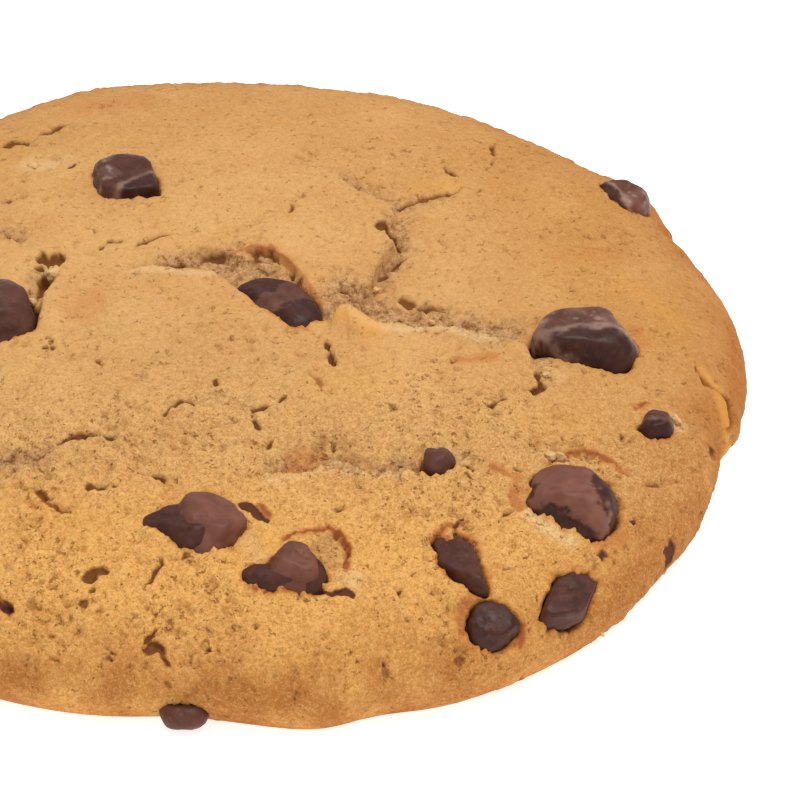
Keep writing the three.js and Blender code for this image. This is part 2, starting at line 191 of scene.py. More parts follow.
# Single holes: x, y, half width and depth.
PITS = [
    (-15.9, -5.8, 0.75, 1.0), (-11.2, -8.0, 0.5, 0.7), (-8.9, 3.8, 0.35, 0.6), (-4.3, -19.9, 0.3, 0.5),
    (14.1, 24.8, 0.5, 0.8), (15.6, 25.8, 0.5, 0.6), (11.8, 32.2, 0.4, 0.6), (6.4, 32.1, 0.5, 0.5),
    (1.4, 27.8, 0.45, 0.6), (4.9, 13.0, 0.35, 0.5), (19.1, 22.2, 0.4, 0.5), (14.8, 20.0, 0.4, 0.4),
    (18.1, -7.3, 0.3, 0.5), (15.0, -19.4, 0.5, 0.7), (13.3, -22.1, 0.4, 0.5), (12.4, -23.8, 0.35, 0.5),
    (13.8, -14.2, 0.35, 0.5), (22.8, -13.9, 0.35, 0.5), (31.0, -12.8, 0.4, 0.7), (28.6, -17.0, 0.4, 0.6),
    (33.8, -15.3, 0.4, 0.7), (24.8, -21.5, 0.5, 0.7), (27.5, -22.7, 0.35, 0.5), (33.6, -9.7, 0.35, 0.5),
    (32.2, -10.8, 0.3, 0.4), (37.6, -7.3, 0.3, 0.5), (39.3, -6.0, 0.35, 0.5), (41.7, -12.5, 0.5, 0.6),
    (40.6, -14.3, 0.35, 0.4), (4.9, -9.9, 0.35, 0.4), (2.4, -9.5, 0.3, 0.4), (-15.5, -40.6, 0.35, 0.6),
    (-15.7, -41.2, 0.3, 0.5), (-13.2, -40.9, 0.45, 0.6), (-8.8, -41.3, 0.45, 0.6), (-4.2, -43.0, 0.4, 0.6),
    (-12.9, -43.0, 0.35, 0.5), (-3.3, -37.7, 0.3, 0.5), (-0.8, -41.3, 0.4, 0.6), (0.1, -41.2, 0.3, 0.6),
    (-9.0, -32.2, 0.35, 0.5), (-2.8, -33.5, 0.4, 0.7), (7.0, -41.5, 0.45, 0.8), (10.9, -41.5, 0.5, 0.7),
    (9.0, -42.1, 0.4, 0.5), (6.1, -44.6, 0.45, 0.7), (15.4, -38.6, 0.35, 0.5),
    (12.2, -39.8, 0.35, 0.4), (13.3, -39.7, 0.35, 0.4), (16.8, -37.5, 0.35, 0.4), (18.4, -40.1, 0.3, 0.5),
    (17.5, -41.6, 0.3, 0.4), (22.9, -39.8, 0.4, 0.6), (23.1, -30.3, 0.4, 0.5), (21.4, -30.0, 0.35, 0.5),
    (23.6, -32.3, 0.35, 0.5), (4.8, -39.3, 0.3, 0.4), (-7.1, -38.5, 0.35, 0.4), (20.6, -28.9, 0.4, 0.5),
    (-24.6, -20.4, 0.5, 0.8), (-27.8, 3.4, 0.5, 0.8), (-35.6, -4.6, 0.4, 0.6), (-20.4, 17.4, 0.5, 0.7),
    (-33.4, 15.6, 0.4, 0.6), (-12.6, 36.4, 0.4, 0.5), (-27.8, 28.6, 0.4, 0.6), (-29.6, -29.0, 0.5, 0.7),
    (2.6, 37.6, 0.4, 0.5), (27.6, 33.4, 0.4, 0.5), (-16.8, -10.8, 0.4, 0.6), (-22.6, 6.4, 0.4, 0.6),
]

# Edges of broken plates: rise on the right of the route as it runs, drop on its left, the reach of
# each, and the route.
PLATES = [
    (0.6, 0.5, 2.4, 2.0, [(-16.9, -4.0), (-16.4, 0.0), (-15.8, 3.4), (-14.4, 6.5), (-11.0, 6.6)]),
    (0.5, 0.9, 2.4, 2.8, [(-9.4, 5.2), (-6.2, 4.9), (-2.0, 5.2), (0.2, 3.8), (1.0, 1.8), (2.6, -0.6)]),
    (0.4, 0.5, 2.4, 1.4, [(8.8, -2.0), (7.5, 1.0), (6.3, 3.6), (4.9, 6.1), (3.1, 8.3), (1.2, 9.2)]),
    (0.75, 1.5, 2.2, 4.2, [(8.2, -3.8), (9.2, -2.2), (10.2, -1.6), (12.2, -3.3), (15.7, -3.4),
                          (17.4, -2.6), (20.3, -3.6), (23.0, -4.6), (25.2, -5.1), (26.6, -8.2)]),
    (0.6, 1.1, 3.6, 2.2, [(1.0, -24.4), (5.2, -23.4), (7.9, -22.4), (9.3, -21.3), (10.8, -22.6),
                          (12.5, -23.7), (16.1, -23.1), (19.4, -21.8), (21.4, -22.4)]),
    (0.5, 0.7, 3.6, 2.6, [(3.0, 22.9), (7.6, 21.2), (10.8, 18.2), (14.0, 15.0), (13.5, 12.2),
                          (14.3, 9.3), (12.9, 5.4), (11.0, 1.6), (9.1, 1.0)]),
    (0.15, 0.6, 2.6, 2.2, [(-19.4, -21.4), (-16.0, -20.4), (-13.9, -19.2), (-11.0, -18.8), (-9.0, -19.6)]),
    (0.4, 0.4, 2.4, 1.6, [(-9.4, -21.6), (-7.0, -23.6), (-4.8, -25.0), (-5.2, -27.4)]),
    (0.3, 0.3, 3.0, 2.4, [(-19.0, -23.4), (-15.6, -25.0), (-12.6, -28.6)]),
    (0.3, 0.3, 3.0, 2.4, [(22.4, -28.4), (23.4, -26.8), (25.4, -25.6)]),
    (0.4, 0.5, 3.0, 2.4, [(-30.6, 18.0), (-27.4, 16.0), (-25.0, 13.6), (-22.0, 12.0), (-19.0, 10.2)]),
    (0.4, 0.5, 3.0, 2.4, [(-39.6, -9.0), (-34.6, -12.4), (-29.6, -11.8), (-26.4, -13.0)]),
]

# Small knobs and dishes in the crust: x, y, how far across and how high.
KNOBS = [
    (9.9, -2.6, 1.1, 0.7), (11.9, -4.2, 1.2, 0.3), (9.0, -32.2, 1.7, -0.7), (-2.0, 7.2, 2.0, -0.5),
    (24.9, -24.6, 1.2, -0.4), (19.2, -37.8, 1.0, -0.4), (44.2, -7.0, 1.4, 0.4), (-17.4, 23.8, 1.6, -0.4),
    (6.2, -21.3, 1.5, -0.3), (43.6, -10.6, 1.6, -0.9), (39.4, 19.6, 1.6, -0.5),
]

# Crumbly greyish hollows, their grey partly painted shade of the low ground: half width, strength and
# route.
GREY_BANDS = [
    (1.0, 0.9, [(0.2, 7.6), (3.0, 6.2), (5.2, 3.6), (8.2, -1.4)]),
    (2.6, 1.0, [(10.4, 2.0), (13.6, 0.0), (17.4, -0.8), (22.6, -3.2)]),
    (1.7, 0.9, [(-4.4, 6.8), (-0.8, 7.6), (2.2, 7.0)]),
    (1.1, 0.5, [(14.4, 13.6), (15.0, 9.0), (12.8, 4.6)]),
    (1.3, 0.7, [(4.6, -21.4), (8.6, -21.2), (12.6, -22.8), (17.0, -21.2)]),
    (1.6, 0.9, [(-20.0, -20.4), (-17.4, -20.4), (-15.8, -19.8)]),
    (1.0, 0.5, [(26.8, -6.8), (27.4, -9.0)]),
    (1.0, 0.4, [(-1.4, -13.4), (1.4, -14.4)]),
    (1.2, 0.7, [(-17.2, 2.0), (-16.6, 5.4)]),
    (1.2, 0.5, [(9.6, 20.4), (14.6, 16.6), (18.6, 17.4)]),
    (1.4, 0.25, [(8.6, -31.2), (9.2, -33.2)]),
    (1.2, 0.5, [(-26.4, 15.6), (-20.0, 11.6)]),
    (5.0, 0.14, [(-10.0, -3.0), (2.0, -8.0)]),
]

# Caramel brown and orange stains, and painted shade: the first runs along the shadowed wall under the
# overhanging edge beside the fissure chip. Half width, strength and route.
STAINS_AND_SHADE = [
    (0.24, 0.62, [(0.0, 8.8), (1.8, 9.2), (3.4, 8.3), (5.1, 6.1), (6.5, 3.5), (7.9, 0.2)]),
    (0.6, 0.85, [(28.8, -19.1), (30.6, -18.1), (32.3, -18.5)]),
    (0.3, 0.7, [(32.8, -18.6), (34.0, -20.2)]),
    (0.5, 0.55, [(24.7, -22.6), (24.3, -24.4), (25.0, -25.8)]),
    (0.3, 1.0, [(34.9, -11.3), (36.1, -10.4)]),
    (0.28, 1.1, [(5.2, -31.0), (6.3, -30.4), (8.7, -29.8), (10.0, -30.7), (10.6, -31.9), (10.3, -33.8)]),
    (0.15, 0.8, [(2.7, -36.2), (5.5, -36.8), (7.7, -36.8)]),
    (0.45, 0.65, [(20.2, -38.8), (19.6, -37.4), (20.6, -36.0)]),
    (0.35, 0.9, [(24.6, -38.4), (24.9, -37.2)]),
    (0.4, 0.8, [(17.6, -30.0), (18.6, -28.8), (20.0, -28.4)]),
    (0.6, 0.5, [(31.4, -28.0), (33.6, -26.4)]),
    (0.35, 0.9, [(3.2, -27.2), (3.9, -28.4)]),
    (0.5, 0.6, [(22.6, -21.6), (23.6, -22.0)]),
    (1.9, 0.28, [(-12.9, -1.6), (-12.2, 0.4)]),
    (0.6, 0.5, [(19.8, -8.3), (22.8, -7.7)]),
    (1.6, 0.22, [(29.4, 9.0), (34.0, 10.4)]),
    (1.3, 0.35, [(6.0, -21.0), (7.4, -20.4)]),
    (2.2, 0.25, [(-16.0, 34.6), (-9.0, 36.0)]),
    (0.4, 0.9, [(-18.4, -36.0), (-17.3, -37.2)]),
    (0.5, 0.5, [(35.2, -0.6), (36.0, -2.6)]),
    (0.45, 0.8, [(41.4, -12.0), (41.8, -12.8)]),
    (0.5, 0.7, [(-26.4, -16.8), (-27.4, -21.4)]),
    (2.2, 0.3, [(-30.6, -24.6), (-27.4, -27.8)]),
]

# Warm yellow places; the second, on the raised knob at the plate edge, is painted light. Half width,
# strength and route.
YELLOWS = [
    (0.5, 1.0, [(40.8, -3.6), (42.4, -5.4), (43.3, -8.8)]),
    (1.1, 0.9, [(9.4, -2.4), (12.2, -4.2)]),
    (1.3, 0.4, [(16.2, 18.4), (19.0, 19.6)]),
    (1.4, 0.5, [(0.6, -31.8), (4.0, -32.2)]),
    (2.4, 0.3, [(8.0, -12.0), (13.0, -11.0)]),
    (2.6, 0.4, [(-18.0, -26.0), (-12.0, -29.0)]),
    (2.4, 0.3, [(26.0, -15.6), (30.0, -14.0)]),
    (1.4, 0.4, [(34.6, 5.4), (38.6, 2.4)]),
]

# Pale floury places; the first three, on the raised lips of broken plates, are painted light. Half width,
# strength and route.
CREAMS = [
    (0.5, 0.8, [(10.4, -2.6), (12.4, -4.0), (15.7, -4.1), (17.4, -3.3), (20.3, -4.3), (23.0, -5.3)]),
    (0.5, 0.6, [(-8.6, 4.6), (-5.0, 4.4), (-1.6, 4.6)]),
    (0.4, 0.5, [(3.4, -24.8), (7.4, -23.2), (9.4, -22.2), (12.0, -24.2), (16.0, -23.9)]),
    (0.6, 1.0, [(27.4, -19.7), (29.0, -19.9)]),
    (0.7, 0.9, [(25.6, -26.6), (27.0, -27.8), (28.8, -28.5)]),
    (0.6, 1.0, [(38.2, -11.2), (38.7, -12.2)]),
    (0.8, 0.7, [(1.8, -31.0), (3.4, -33.4)]),
    (0.8, 0.7, [(10.2, -34.6), (11.2, -35.0)]),
    (0.7, 0.5, [(27.0, -7.0), (28.4, -8.8)]),
    (1.3, 0.6, [(-18.6, 23.6), (-16.6, 24.0)]),
    (0.6, 0.6, [(18.9, -19.6), (19.6, -20.6)]),
]

# The chips: x, y, lift above the crust, size, turn and lean in degrees, and the flats of each.
TOP_FLAT = ((0, 0.3, 1), 0.78)
FRONT_FLAT = ((0, -1, 0.45), 0.82)
SIDE_FLAT = ((-1, -0.3, 0.5), 0.8)
CHIP_SQUARENESS = 2.4
CHIPS = {
    "chip_back_left": (-9.9, 18.9, -0.3, (7.2, 7.6, 5.2), 8, 4, [TOP_FLAT, FRONT_FLAT]),
    "chip_fissure": (4.2, 0.2, -1.5, (9.8, 6.2, 5.4), -52, 8, [TOP_FLAT]),
    "chip_back_rim": (34.9, 22.4, -0.5, (5.8, 4.2, 4.0), -36, 20, [TOP_FLAT]),
    "chip_right_large": (30.8, -3.8, -0.6, (9.6, 7.8, 6.4), -6, 8, [TOP_FLAT, FRONT_FLAT]),
    "chip_front_left": (-1.9, -29.4, -0.2, (8.9, 7.0, 6.0), -12, 6, [SIDE_FLAT, FRONT_FLAT]),
    "chip_small_middle": (17.8, -21.9, 0.3, (3.2, 2.9, 3.0), 35, 0, [TOP_FLAT]),
    "chip_front_middle": (5.6, -34.2, -0.3, (7.0, 5.6, 5.0), -16, 8, [SIDE_FLAT]),
    "chip_small_right": (36.6, -13.1, 0.0, (3.1, 3.0, 3.0), 20, 14, [TOP_FLAT, FRONT_FLAT]),
    "chip_right_round": (29.2, -24.2, -0.6, (8.2, 7.4, 6.4), -14, 8, [TOP_FLAT]),
    "chip_front_long": (19.9, -32.5, -0.5, (7.4, 3.8, 3.6), -58, 4, [TOP_FLAT]),
    "chip_front_square": (22.3, -37.5, -0.4, (4.6, 4.4, 3.6), 10, 26, [TOP_FLAT, FRONT_FLAT]),
    "chip_front_slab": (28.7, -33.6, -0.5, (7.0, 4.0, 3.4), 56, 16, [TOP_FLAT]),
    "chip_under_rim": (-2.8, -42.6, -3.6, (4.2, 4.2, 2.4), 0, 0, [TOP_FLAT]),
    "chip_left_middle": (-21.4, -1.6, -0.5, (8.8, 8.6, 6.2), 12, 0, [TOP_FLAT, FRONT_FLAT]),
    "chip_left_back": (-30.0, 21.5, -0.3, (7.8, 6.6, 5.8), 40, -8, [TOP_FLAT]),
    "chip_left_outer": (-38.2, 4.6, -0.2, (6.2, 5.2, 4.4), 80, -6, [TOP_FLAT, SIDE_FLAT]),
    "chip_left_front": (-32.8, -18.6, -0.3, (8.8, 7.4, 6.2), -30, 10, [TOP_FLAT, FRONT_FLAT]),
    "chip_left_small": (-23.4, -13.4, -0.1, (3.6, 3.2, 3.0), 15, 0, [TOP_FLAT]),
    "chip_left_rim": (-21.6, -34.6, -0.3, (6.4, 5.4, 4.6), 24, 16, [TOP_FLAT, FRONT_FLAT]),
}

# Flats that the fine chips have besides, in their own axes.
FACETS = {
    "chip_back_left": [((-1.0, -0.2, 0.15), 0.78), ((1.0, 0.1, 0.1), 0.8), ((0.1, 0.1, 1.0), 0.6),
                       ((0.1, -1.0, 0.2), 0.72), ((-0.7, -0.8, 0.2), 0.8)],
    "chip_fissure": [((0.1, -0.8, 0.7), 0.8)],
    "chip_back_rim": [((-0.7, 0.7, 0.2), 0.8), ((-0.7, -0.7, 0.2), 0.8)],
    "chip_right_large": [((-0.7, -0.7, 0.1), 0.9), ((0.8, 0.5, 0.3), 0.85)],
    "chip_small_middle": [((-0.8, 0.6, 0.1), 0.7), ((0.7, 0.7, 0.2), 0.75)],
    "chip_small_right": [((-0.7, 0.7, 0.3), 0.8)],
    "chip_right_round": [((0.1, -0.8, 0.6), 0.82), ((0.8, 0.6, 0.3), 0.98)],
    "chip_front_long": [((0.6, 0.8, 0.1), 0.65), ((0.6, -0.8, 0.1), 0.7), ((-0.6, -0.8, 0.1), 0.85),
                        ((0, 0, 1), 0.6)],
    "chip_front_square": [((0.7, 0.7, 0.1), 0.82), ((-0.8, 0.5, 0.1), 0.85), ((0.6, -0.8, 0.1), 0.84),
                          ((0, 0, 1), 0.7)],
    "chip_front_slab": [((1.0, 0.2, 0.0), 0.85), ((0.5, -0.9, 0.0), 0.85), ((-0.5, 0.9, 0.1), 0.8),
                        ((-0.7, -0.7, 0.1), 0.8), ((0, 0, 1), 0.6)],
}

# Chips that are more than one lump: offsets from the middle, size, turn, flats, and how milky.
LOBES = {
    "chip_front_left": [
        (-0.6, -0.5, -0.5, (8.2, 6.5, 5.7), -8, [((-0.3, 0.2, 1.0), 0.72), ((-0.6, -0.8, 0.2), 0.8),
                                                ((-0.7, 0.7, 0.1), 0.82), ((0.6, -0.8, 0.1), 0.8)], 0.12),
        (0.8, -0.5, 0.25, (7.0, 6.4, 5.6), -14, [((0.2, 0.1, 1.0), 0.62), ((0.1, -1.0, 0.6), 0.77),
                                               ((0.9, -0.5, 0.2), 0.82), ((-0.9, -0.3, 0.6), 0.76),
                                               ((0.6, 0.8, 0.1), 0.85)], 1.0),
    ],
    "chip_front_middle": [
        (-0.4, -0.4, -0.7, (7.2, 4.8, 4.6), -8, [((-0.6, 0.8, 0.2), 0.5), ((0.0, -1.0, 0.2), 0.8),
                                                ((-0.2, 0.1, 1.0), 0.75)], 0.15),
        (0.5, -0.1, 0.3, (4.9, 4.9, 4.6), -20, [((0.2, 0.1, 1.0), 0.72), ((-0.8, -0.1, 0.6), 0.75),
                                              ((0.8, 0.5, 0.3), 0.75), ((0.1, -1.0, 0.4), 0.8),
                                              ((-0.5, 0.9, 0.1), 0.75)], 0.9),
    ],
}

# How the dough holds each chip: for directions from the chip in degrees, its rise beside the chip
# and how far it laps over the chip (a gap if below zero).
HOLDS = {
    "chip_back_left": [(-120, 0.1, 0.1), (-30, 0.1, -0.1), (90, 0.1, 0.1), (180, 0.2, 0.3)],
    "chip_fissure": [(-135, 0.3, 0.4), (-60, 0.0, 0.0), (42, 0.4, 0.1), (130, -0.4, 0.1)],
    "chip_back_rim": [(-90, 0.0, -0.1), (70, 0.0, 0.0), (180, 0.0, 0.0)],
    "chip_right_large": [(-90, 0.3, 0.0), (-160, 0.0, -0.2), (0, 0.2, 0.0), (90, 0.2, 0.1)],
    "chip_front_left": [(-130, 0.5, 0.3), (-60, 0.4, 0.4), (0, 0.3, 0.1), (90, 0.2, -0.2), (150, 0.3, 0.4)],
    "chip_small_middle": [(-90, 0.0, -0.2), (90, -0.1, -0.2)],
    "chip_front_middle": [(-90, 0.3, 0.2), (-170, 0.3, 0.1), (120, 0.4, 0.3), (20, 0.0, -0.1)],
    "chip_small_right": [(-90, 0.0, 0.0), (90, 0.2, 0.2)],
    "chip_right_round": [(-90, 0.1, 0.0), (180, 0.0, -0.2), (90, 0.2, 0.1), (-150, 0.4, 0.3),
                         (0, 0.1, -0.3)],
    "chip_front_long": [(-90, 0.0, -0.2), (90, 0.0, -0.2)],
    "chip_front_square": [(-90, 0.0, -0.2), (90, 0.0, -0.2), (180, 0.1, -0.3)],
    "chip_front_slab": [(-90, 0.0, -0.2), (90, 0.0, -0.2)],
    "chip_under_rim": [(-90, 0.0, 0.3), (90, 0.0, 0.3)],
    "chip_left_middle": [(-90, 0.1, 0.1), (0, 0.0, -0.5), (90, 0.1, 0.1), (180, 0.2, 0.2)],
}
USUAL_HOLD = [(-90, 0.3, 0.4), (90, 0.1, 0.0)]

# How strongly the dough beside a chip is stained. The stain is darkest at the chip's edge, where it is
# painted shade of the gap.
HALOS = {
    "chip_front_long": 0.8, "chip_front_square": 0.7, "chip_right_round": 0.6, "chip_front_slab": 0.45,
    "chip_front_middle": 0.8, "chip_front_left": 0.6, "chip_small_right": 0.7, "chip_fissure": 0.8,
}
USUAL_HALO = 0.4

# The skin of each chip: how milky it is, how dusty with bloom, and the sides painted dark as shade where
# they turn from the light, as directions and shares.
SKINS = {
    "chip_back_left": (0.3, 0.9, [((0.6, -0.7, -0.2), 0.4)]),
    "chip_fissure": (0.42, 0.1, [((-0.7, 0.7, 0.0), 0.45), ((0.5, -0.8, -0.1), 0.35)]),
    "chip_back_rim": (0.7, 1.2, [((-0.9, -0.5, 0.0), 0.35)]),
    "chip_right_large": (0.5, 1.0, [((0.05, -1.0, 0.05), 0.2), ((-1.0, -0.3, -0.2), 0.8)]),
    "chip_front_left": (1.0, 0.0, []),
    "chip_small_middle": (0.4, 0.1, []),
    "chip_front_middle": (1.0, 0.0, []),
    "chip_small_right": (0.5, 0.4, [((0.0, -1.0, 0.1), 0.3)]),
    "chip_right_round": (1.0, 0.08, [((1.0, 0.1, 0.0), 0.58), ((-0.4, -1.0, -0.4), 0.55),
                                     ((-1.0, 0.0, -0.2), 0.75)]),
    "chip_front_long": (0.25, 0.0, []),
    "chip_front_square": (0.05, 0.0, []),
    "chip_front_slab": (0.2, 0.0, []),
    "chip_under_rim": (0.4, 0.15, []),
    "chip_left_middle": (0.3, 0.1, []),
}
USUAL_SKIN = (0.6, 0.3, [((0.2, -1.0, 0.0), 0.5)])

# Crumbs that lie in the cracks and beside chips: x, y, and size.
CRUMB_SHAPE = np.array([1.0, 0.8, 0.6])
CRUMB_LIFT = 0.12
CRUMB_PALENESS = 0.7
CRUMBS = [
    (-15.6, 4.6, 1.7), (-17.3, 0.6, 1.1), (-16.9, -3.0, 1.1), (38.5, -11.6, 1.3), (27.6, -19.7, 1.1),
    (28.4, -19.8, 1.2), (26.5, -27.3, 0.6), (28.3, -28.3, 0.4),
    (27.4, -9.0, 0.7), (14.0, 10.4, 0.7), (12.6, 4.4, 0.8), (17.6, 0.4, 0.8), (20.6, -1.4, 0.7),
    (18.9, -20.0, 0.6), (-18.6, 23.6, 1.0), (31.6, -35.0, 0.5), (-25.6, 2.6, 1.2), (-26.8, -15.4, 1.1),
    (-22.6, 11.0, 1.0),
]

# Melted chocolate in the crust, in slivers and spots: half width, strength and route.
MELTED = [
    (0.25, 0.9, [(-15.1, 22.4), (-14.6, 23.0)]),
    (0.45, 1.0, [(1.8, -27.2), (2.7, -28.0), (3.6, -28.9)]),
    (0.3, 1.0, [(7.4, -36.4), (9.3, -36.5), (10.4, -36.0), (10.9, -36.4)]),
    (0.45, 0.9, [(37.5, -25.2), (38.0, -24.2)]),
    (0.4, 0.7, [(31.6, -29.2), (31.9, -28.7)]),
    (0.25, 0.8, [(34.1, -24.9), (34.5, -24.5)]),
    (0.35, 0.6, [(41.5, -13.0), (41.8, -12.0)]),
    (0.35, 0.7, [(19.4, -28.8), (20.0, -27.8)]),
    (0.3, 0.7, [(20.4, -22.6), (20.9, -23.2)]),
    (0.35, 0.9, [(-18.6, -36.2), (-17.2, -37.2)]),
    (0.5, 1.0, [(-24.6, -20.0), (-23.0, -18.6)]),
    (0.5, 1.0, [(-30.4, -1.6), (-31.8, -0.4)]),
]


# ---- noise ----------------------------------------------------------------------------------

NOISE_CELLS = 64
NOISE_TURN = np.array([[0.36, 0.48, -0.8], [-0.8, 0.6, 0.0], [0.48, 0.64, 0.6]])


def random_table(seed):
    """A steady block of random numbers from 0 to 1."""
    return np.random.default_rng(seed).random((NOISE_CELLS,) * 3, np.float32)


def noise(points, size, seed):
    """Smooth noise from -1 to 1 with lumps about size across."""
    scaled = (points / size).astype(np.float32)
    low = np.floor(scaled)
    part = scaled - low
    part = (part * part * (3 - 2 * part)).T
    cells = (low.astype(np.int32) % NOISE_CELLS).T
    nexts = (cells + 1) % NOISE_CELLS
    table = random_table(seed)

    def blend(first, second, axis):
        return first + (second - first) * part[axis]

    sheets = []
    for x in (cells[0], nexts[0]):
        rows = [blend(table[x, y, cells[2]], table[x, y, nexts[2]], 2) for y in (cells[1], nexts[1])]
        sheets.append(blend(rows[0], rows[1], 1))
    return 2 * blend(sheets[0], sheets[1], 0) - 1


def rough(points, size, seed, layers=3):
    """Noise with finer and finer layers, each turned against the last so that no grid shows."""
    total = np.zeros(len(points))
    share = 0.0
    for layer in range(layers):
        points = points @ NOISE_TURN
        total += noise(points, size * 0.47 ** layer, seed + layer) * 0.55 ** layer
        share += 0.55 ** layer
    return total / share * 1.6


def sideways(points, size, seeds, layers):
    """Noise in x and y only, to bend what lies along routes."""
    shifts = [rough(points, size, seed, layers) for seed in seeds]
    return np.stack([*shifts, np.zeros(len(points))], axis=1)


def ramp(value, low, high):
    """0 at low, 1 at high, smooth between; low may be the larger."""
    part = np.clip((value - low) / (high - low), 0, 1)
    return part * part * (3 - 2 * part)


# ---- the plain shape of the dough -----------------------------------------------------------

def rim_radius(angle):
    """The radius of the widest ring of the rim in each direction."""
    radius = np.full(np.shape(angle), DISC_RADIUS)
    for at, wide, out in RIM_LOBES:
        gap = angle - math.radians(at)
        turned = np.arctan2(np.sin(gap), np.cos(gap))
        radius = radius + out * np.exp(-((turned / math.radians(wide)) ** 2))
    for waves, size, start in RIM_RIPPLES:
        radius = radius + size * np.sin(waves * angle + math.radians(start))
    return radius


def crust_height(x, y):
    """The height of the crust: a dome that stays level and then turns down to the rim."""
    share = np.minimum(1, np.hypot(x, y) / rim_radius(np.arctan2(y, x)))
    dome = np.sqrt(1 - share ** DOME_POWER)
    height = WIDEST_HEIGHT + (MIDDLE_HEIGHT - WIDEST_HEIGHT) * dome
    for at_x, at_y, across, up in SWELLS:
        away = np.hypot(x - at_x, y - at_y) / across
        height = height + up * np.exp(-away * away) * dome
    return height


def disc_grid(cells):
    """Square grid points pushed out to a unit disc: direction and distance from the middle."""
    line = np.linspace(-1, 1, cells + 1)
    a, b = np.meshgrid(line, line, indexing="ij")
    u = a * np.sqrt(1 - b * b / 2)
    v = b * np.sqrt(1 - a * a / 2)
    return np.arctan2(v, u), np.minimum(np.hypot(u, v), 1)


def skin_points(angle, distance):
    """Points of the plain crust and side, spaced evenly along the surface: distance 0 is the middle
    of the top and 1 is the edge of the foot."""
    steps = 400
    share = np.concatenate([np.linspace(0, 1, steps) ** 0.5, np.ones(steps // 4)])
    down = np.concatenate([np.zeros(steps), np.linspace(0, 1, steps // 4)])
    inset = FOOT_INSET * down * down
    across = DISC_RADIUS * share - inset
    dome = MIDDLE_HEIGHT - WIDEST_HEIGHT
    height = np.where(down > 0, WIDEST_HEIGHT * (1 - down),
                      WIDEST_HEIGHT + dome * np.sqrt(1 - share ** DOME_POWER))
    along = np.concatenate([[0], np.cumsum(np.hypot(np.diff(across), np.diff(height)))])
    along /= along[-1]
    share_here = np.interp(distance, along, share)
    inset_here = np.interp(distance, along, inset)
    down_here = np.interp(distance, along, down)
    radius = rim_radius(angle) * share_here - inset_here
    x = radius * np.cos(angle)
    y = radius * np.sin(angle)
    z = np.where(down_here > 0, WIDEST_HEIGHT * (1 - down_here), crust_height(x, y))
    return np.stack([x, y, z], axis=-1)


def outward(points):
    """The direction that the surface of a square grid of points faces."""
    facing = np.cross(np.gradient(points, axis=0), np.gradient(points, axis=1))
    return facing / np.maximum(np.linalg.norm(facing, axis=-1, keepdims=True), 1e-9)


# ---- what happens along routes --------------------------------------------------------------

def along_route(points, route, reach):
    """For the points within reach of a route seen from above: which they are, how far away (less
    than zero on the route's right), and how far along it they are as a share."""
    route = np.array(route, float)
    flat = points[:, :2]
    inside = (flat > route.min(axis=0) - reach) & (flat < route.max(axis=0) + reach)
    close = np.nonzero(np.all(inside, axis=1))[0]
    flat = flat[close]
    nearest = np.full(len(close), 1e3)
    along = np.zeros(len(close))
    left = np.ones(len(close))
    lengths = np.linalg.norm(np.diff(route, axis=0), axis=1)
    walked = 0.0
    for start, end, length in zip(route[:-1], route[1:], lengths):
        way = (end - start) / length
        offset = flat - start
        run = np.clip(offset @ way, 0, length)
        away = np.linalg.norm(offset - run[:, None] * way, axis=1)
        nearer = away < nearest
        nearest[nearer] = away[nearer]
        along[nearer] = (walked + run[nearer]) / lengths.sum()
        side = way[0] * offset[:, 1] - way[1] * offset[:, 0]
        left[nearer] = np.sign(side[nearer])
        walked += length
    return close, nearest * left, along


def band_mask(points, bands, uneven):
    """The strength of soft-edged bands along routes at each point, with uneven edges."""
    mask = np.zeros(len(points))
    for half, strength, route in bands:
        close, away, _ = along_route(points, route, 2.2 * half)
        edge = np.abs(away) / half + 0.45 * uneven[close]
        mask[close] = np.maximum(mask[close], strength * ramp(edge, 1.5, 0.3))
    return mask


def crack_depth(points, jagged):
    """How deep the cracks go below the crust at each point, in mm."""
    gape = rough(points, 1.5, 31)
    depth = np.zeros(len(points))
    for half, deep, broken, route in CRACKS:
        close, away, along = along_route(points, route, 3.0)
        taper = np.sqrt(np.clip(np.minimum(along, 1 - along) * 5 + 0.1, 0, 1))
        level = 1 - np.abs(away) / (half * taper) + 0.5 * jagged[close]
        level -= broken * (0.15 - 0.9 * gape[close])
        fall = CRACK_SHARE * deep * taper * ramp(level, 0.0, 0.8)
        depth[close] = np.maximum(depth[close], fall)
    return depth


def pit_depth(points, ragged):
    """How deep the single holes go below the crust at each point, in mm."""
    depth = np.zeros(len(points))
    for at_x, at_y, half, deep in PITS:
        away = np.hypot(points[:, 0] - at_x, points[:, 1] - at_y)
        close = away < half * 2.5
        level = 0.7 - away[close] / (1.3 * half) + 1.2 * ragged[close]
        depth[close] = np.maximum(depth[close], PIT_SHARE * deep * ramp(level, 0.0, 0.9))
    return depth


def plate_steps(points, bend):
    """The height that the edges of the broken plates add at each point, in mm."""
    height = np.zeros(len(points))
    for rise, drop, right_reach, left_reach, route in PLATES:
        close, away, along = along_route(points + bend, route, 2.4 * max(right_reach, left_reach))
        taper = np.clip(np.minimum(along, 1 - along) * 7, 0, 1)
        right = rise * np.exp(-(away / right_reach) ** 2)
        left = -drop * np.exp(-(away / left_reach) ** 2)
        height[close] += taper * (right + (left - right) * ramp(away, -0.25, 0.35))
    for at_x, at_y, across, up in KNOBS:
        away = np.hypot(points[:, 0] - at_x, points[:, 1] - at_y) / across
        height += up * (np.exp(-away * away) if up > 0 else ramp(away, 1.15, 0.7))
    return height


# ---- the chips ------------------------------------------------------------------------------

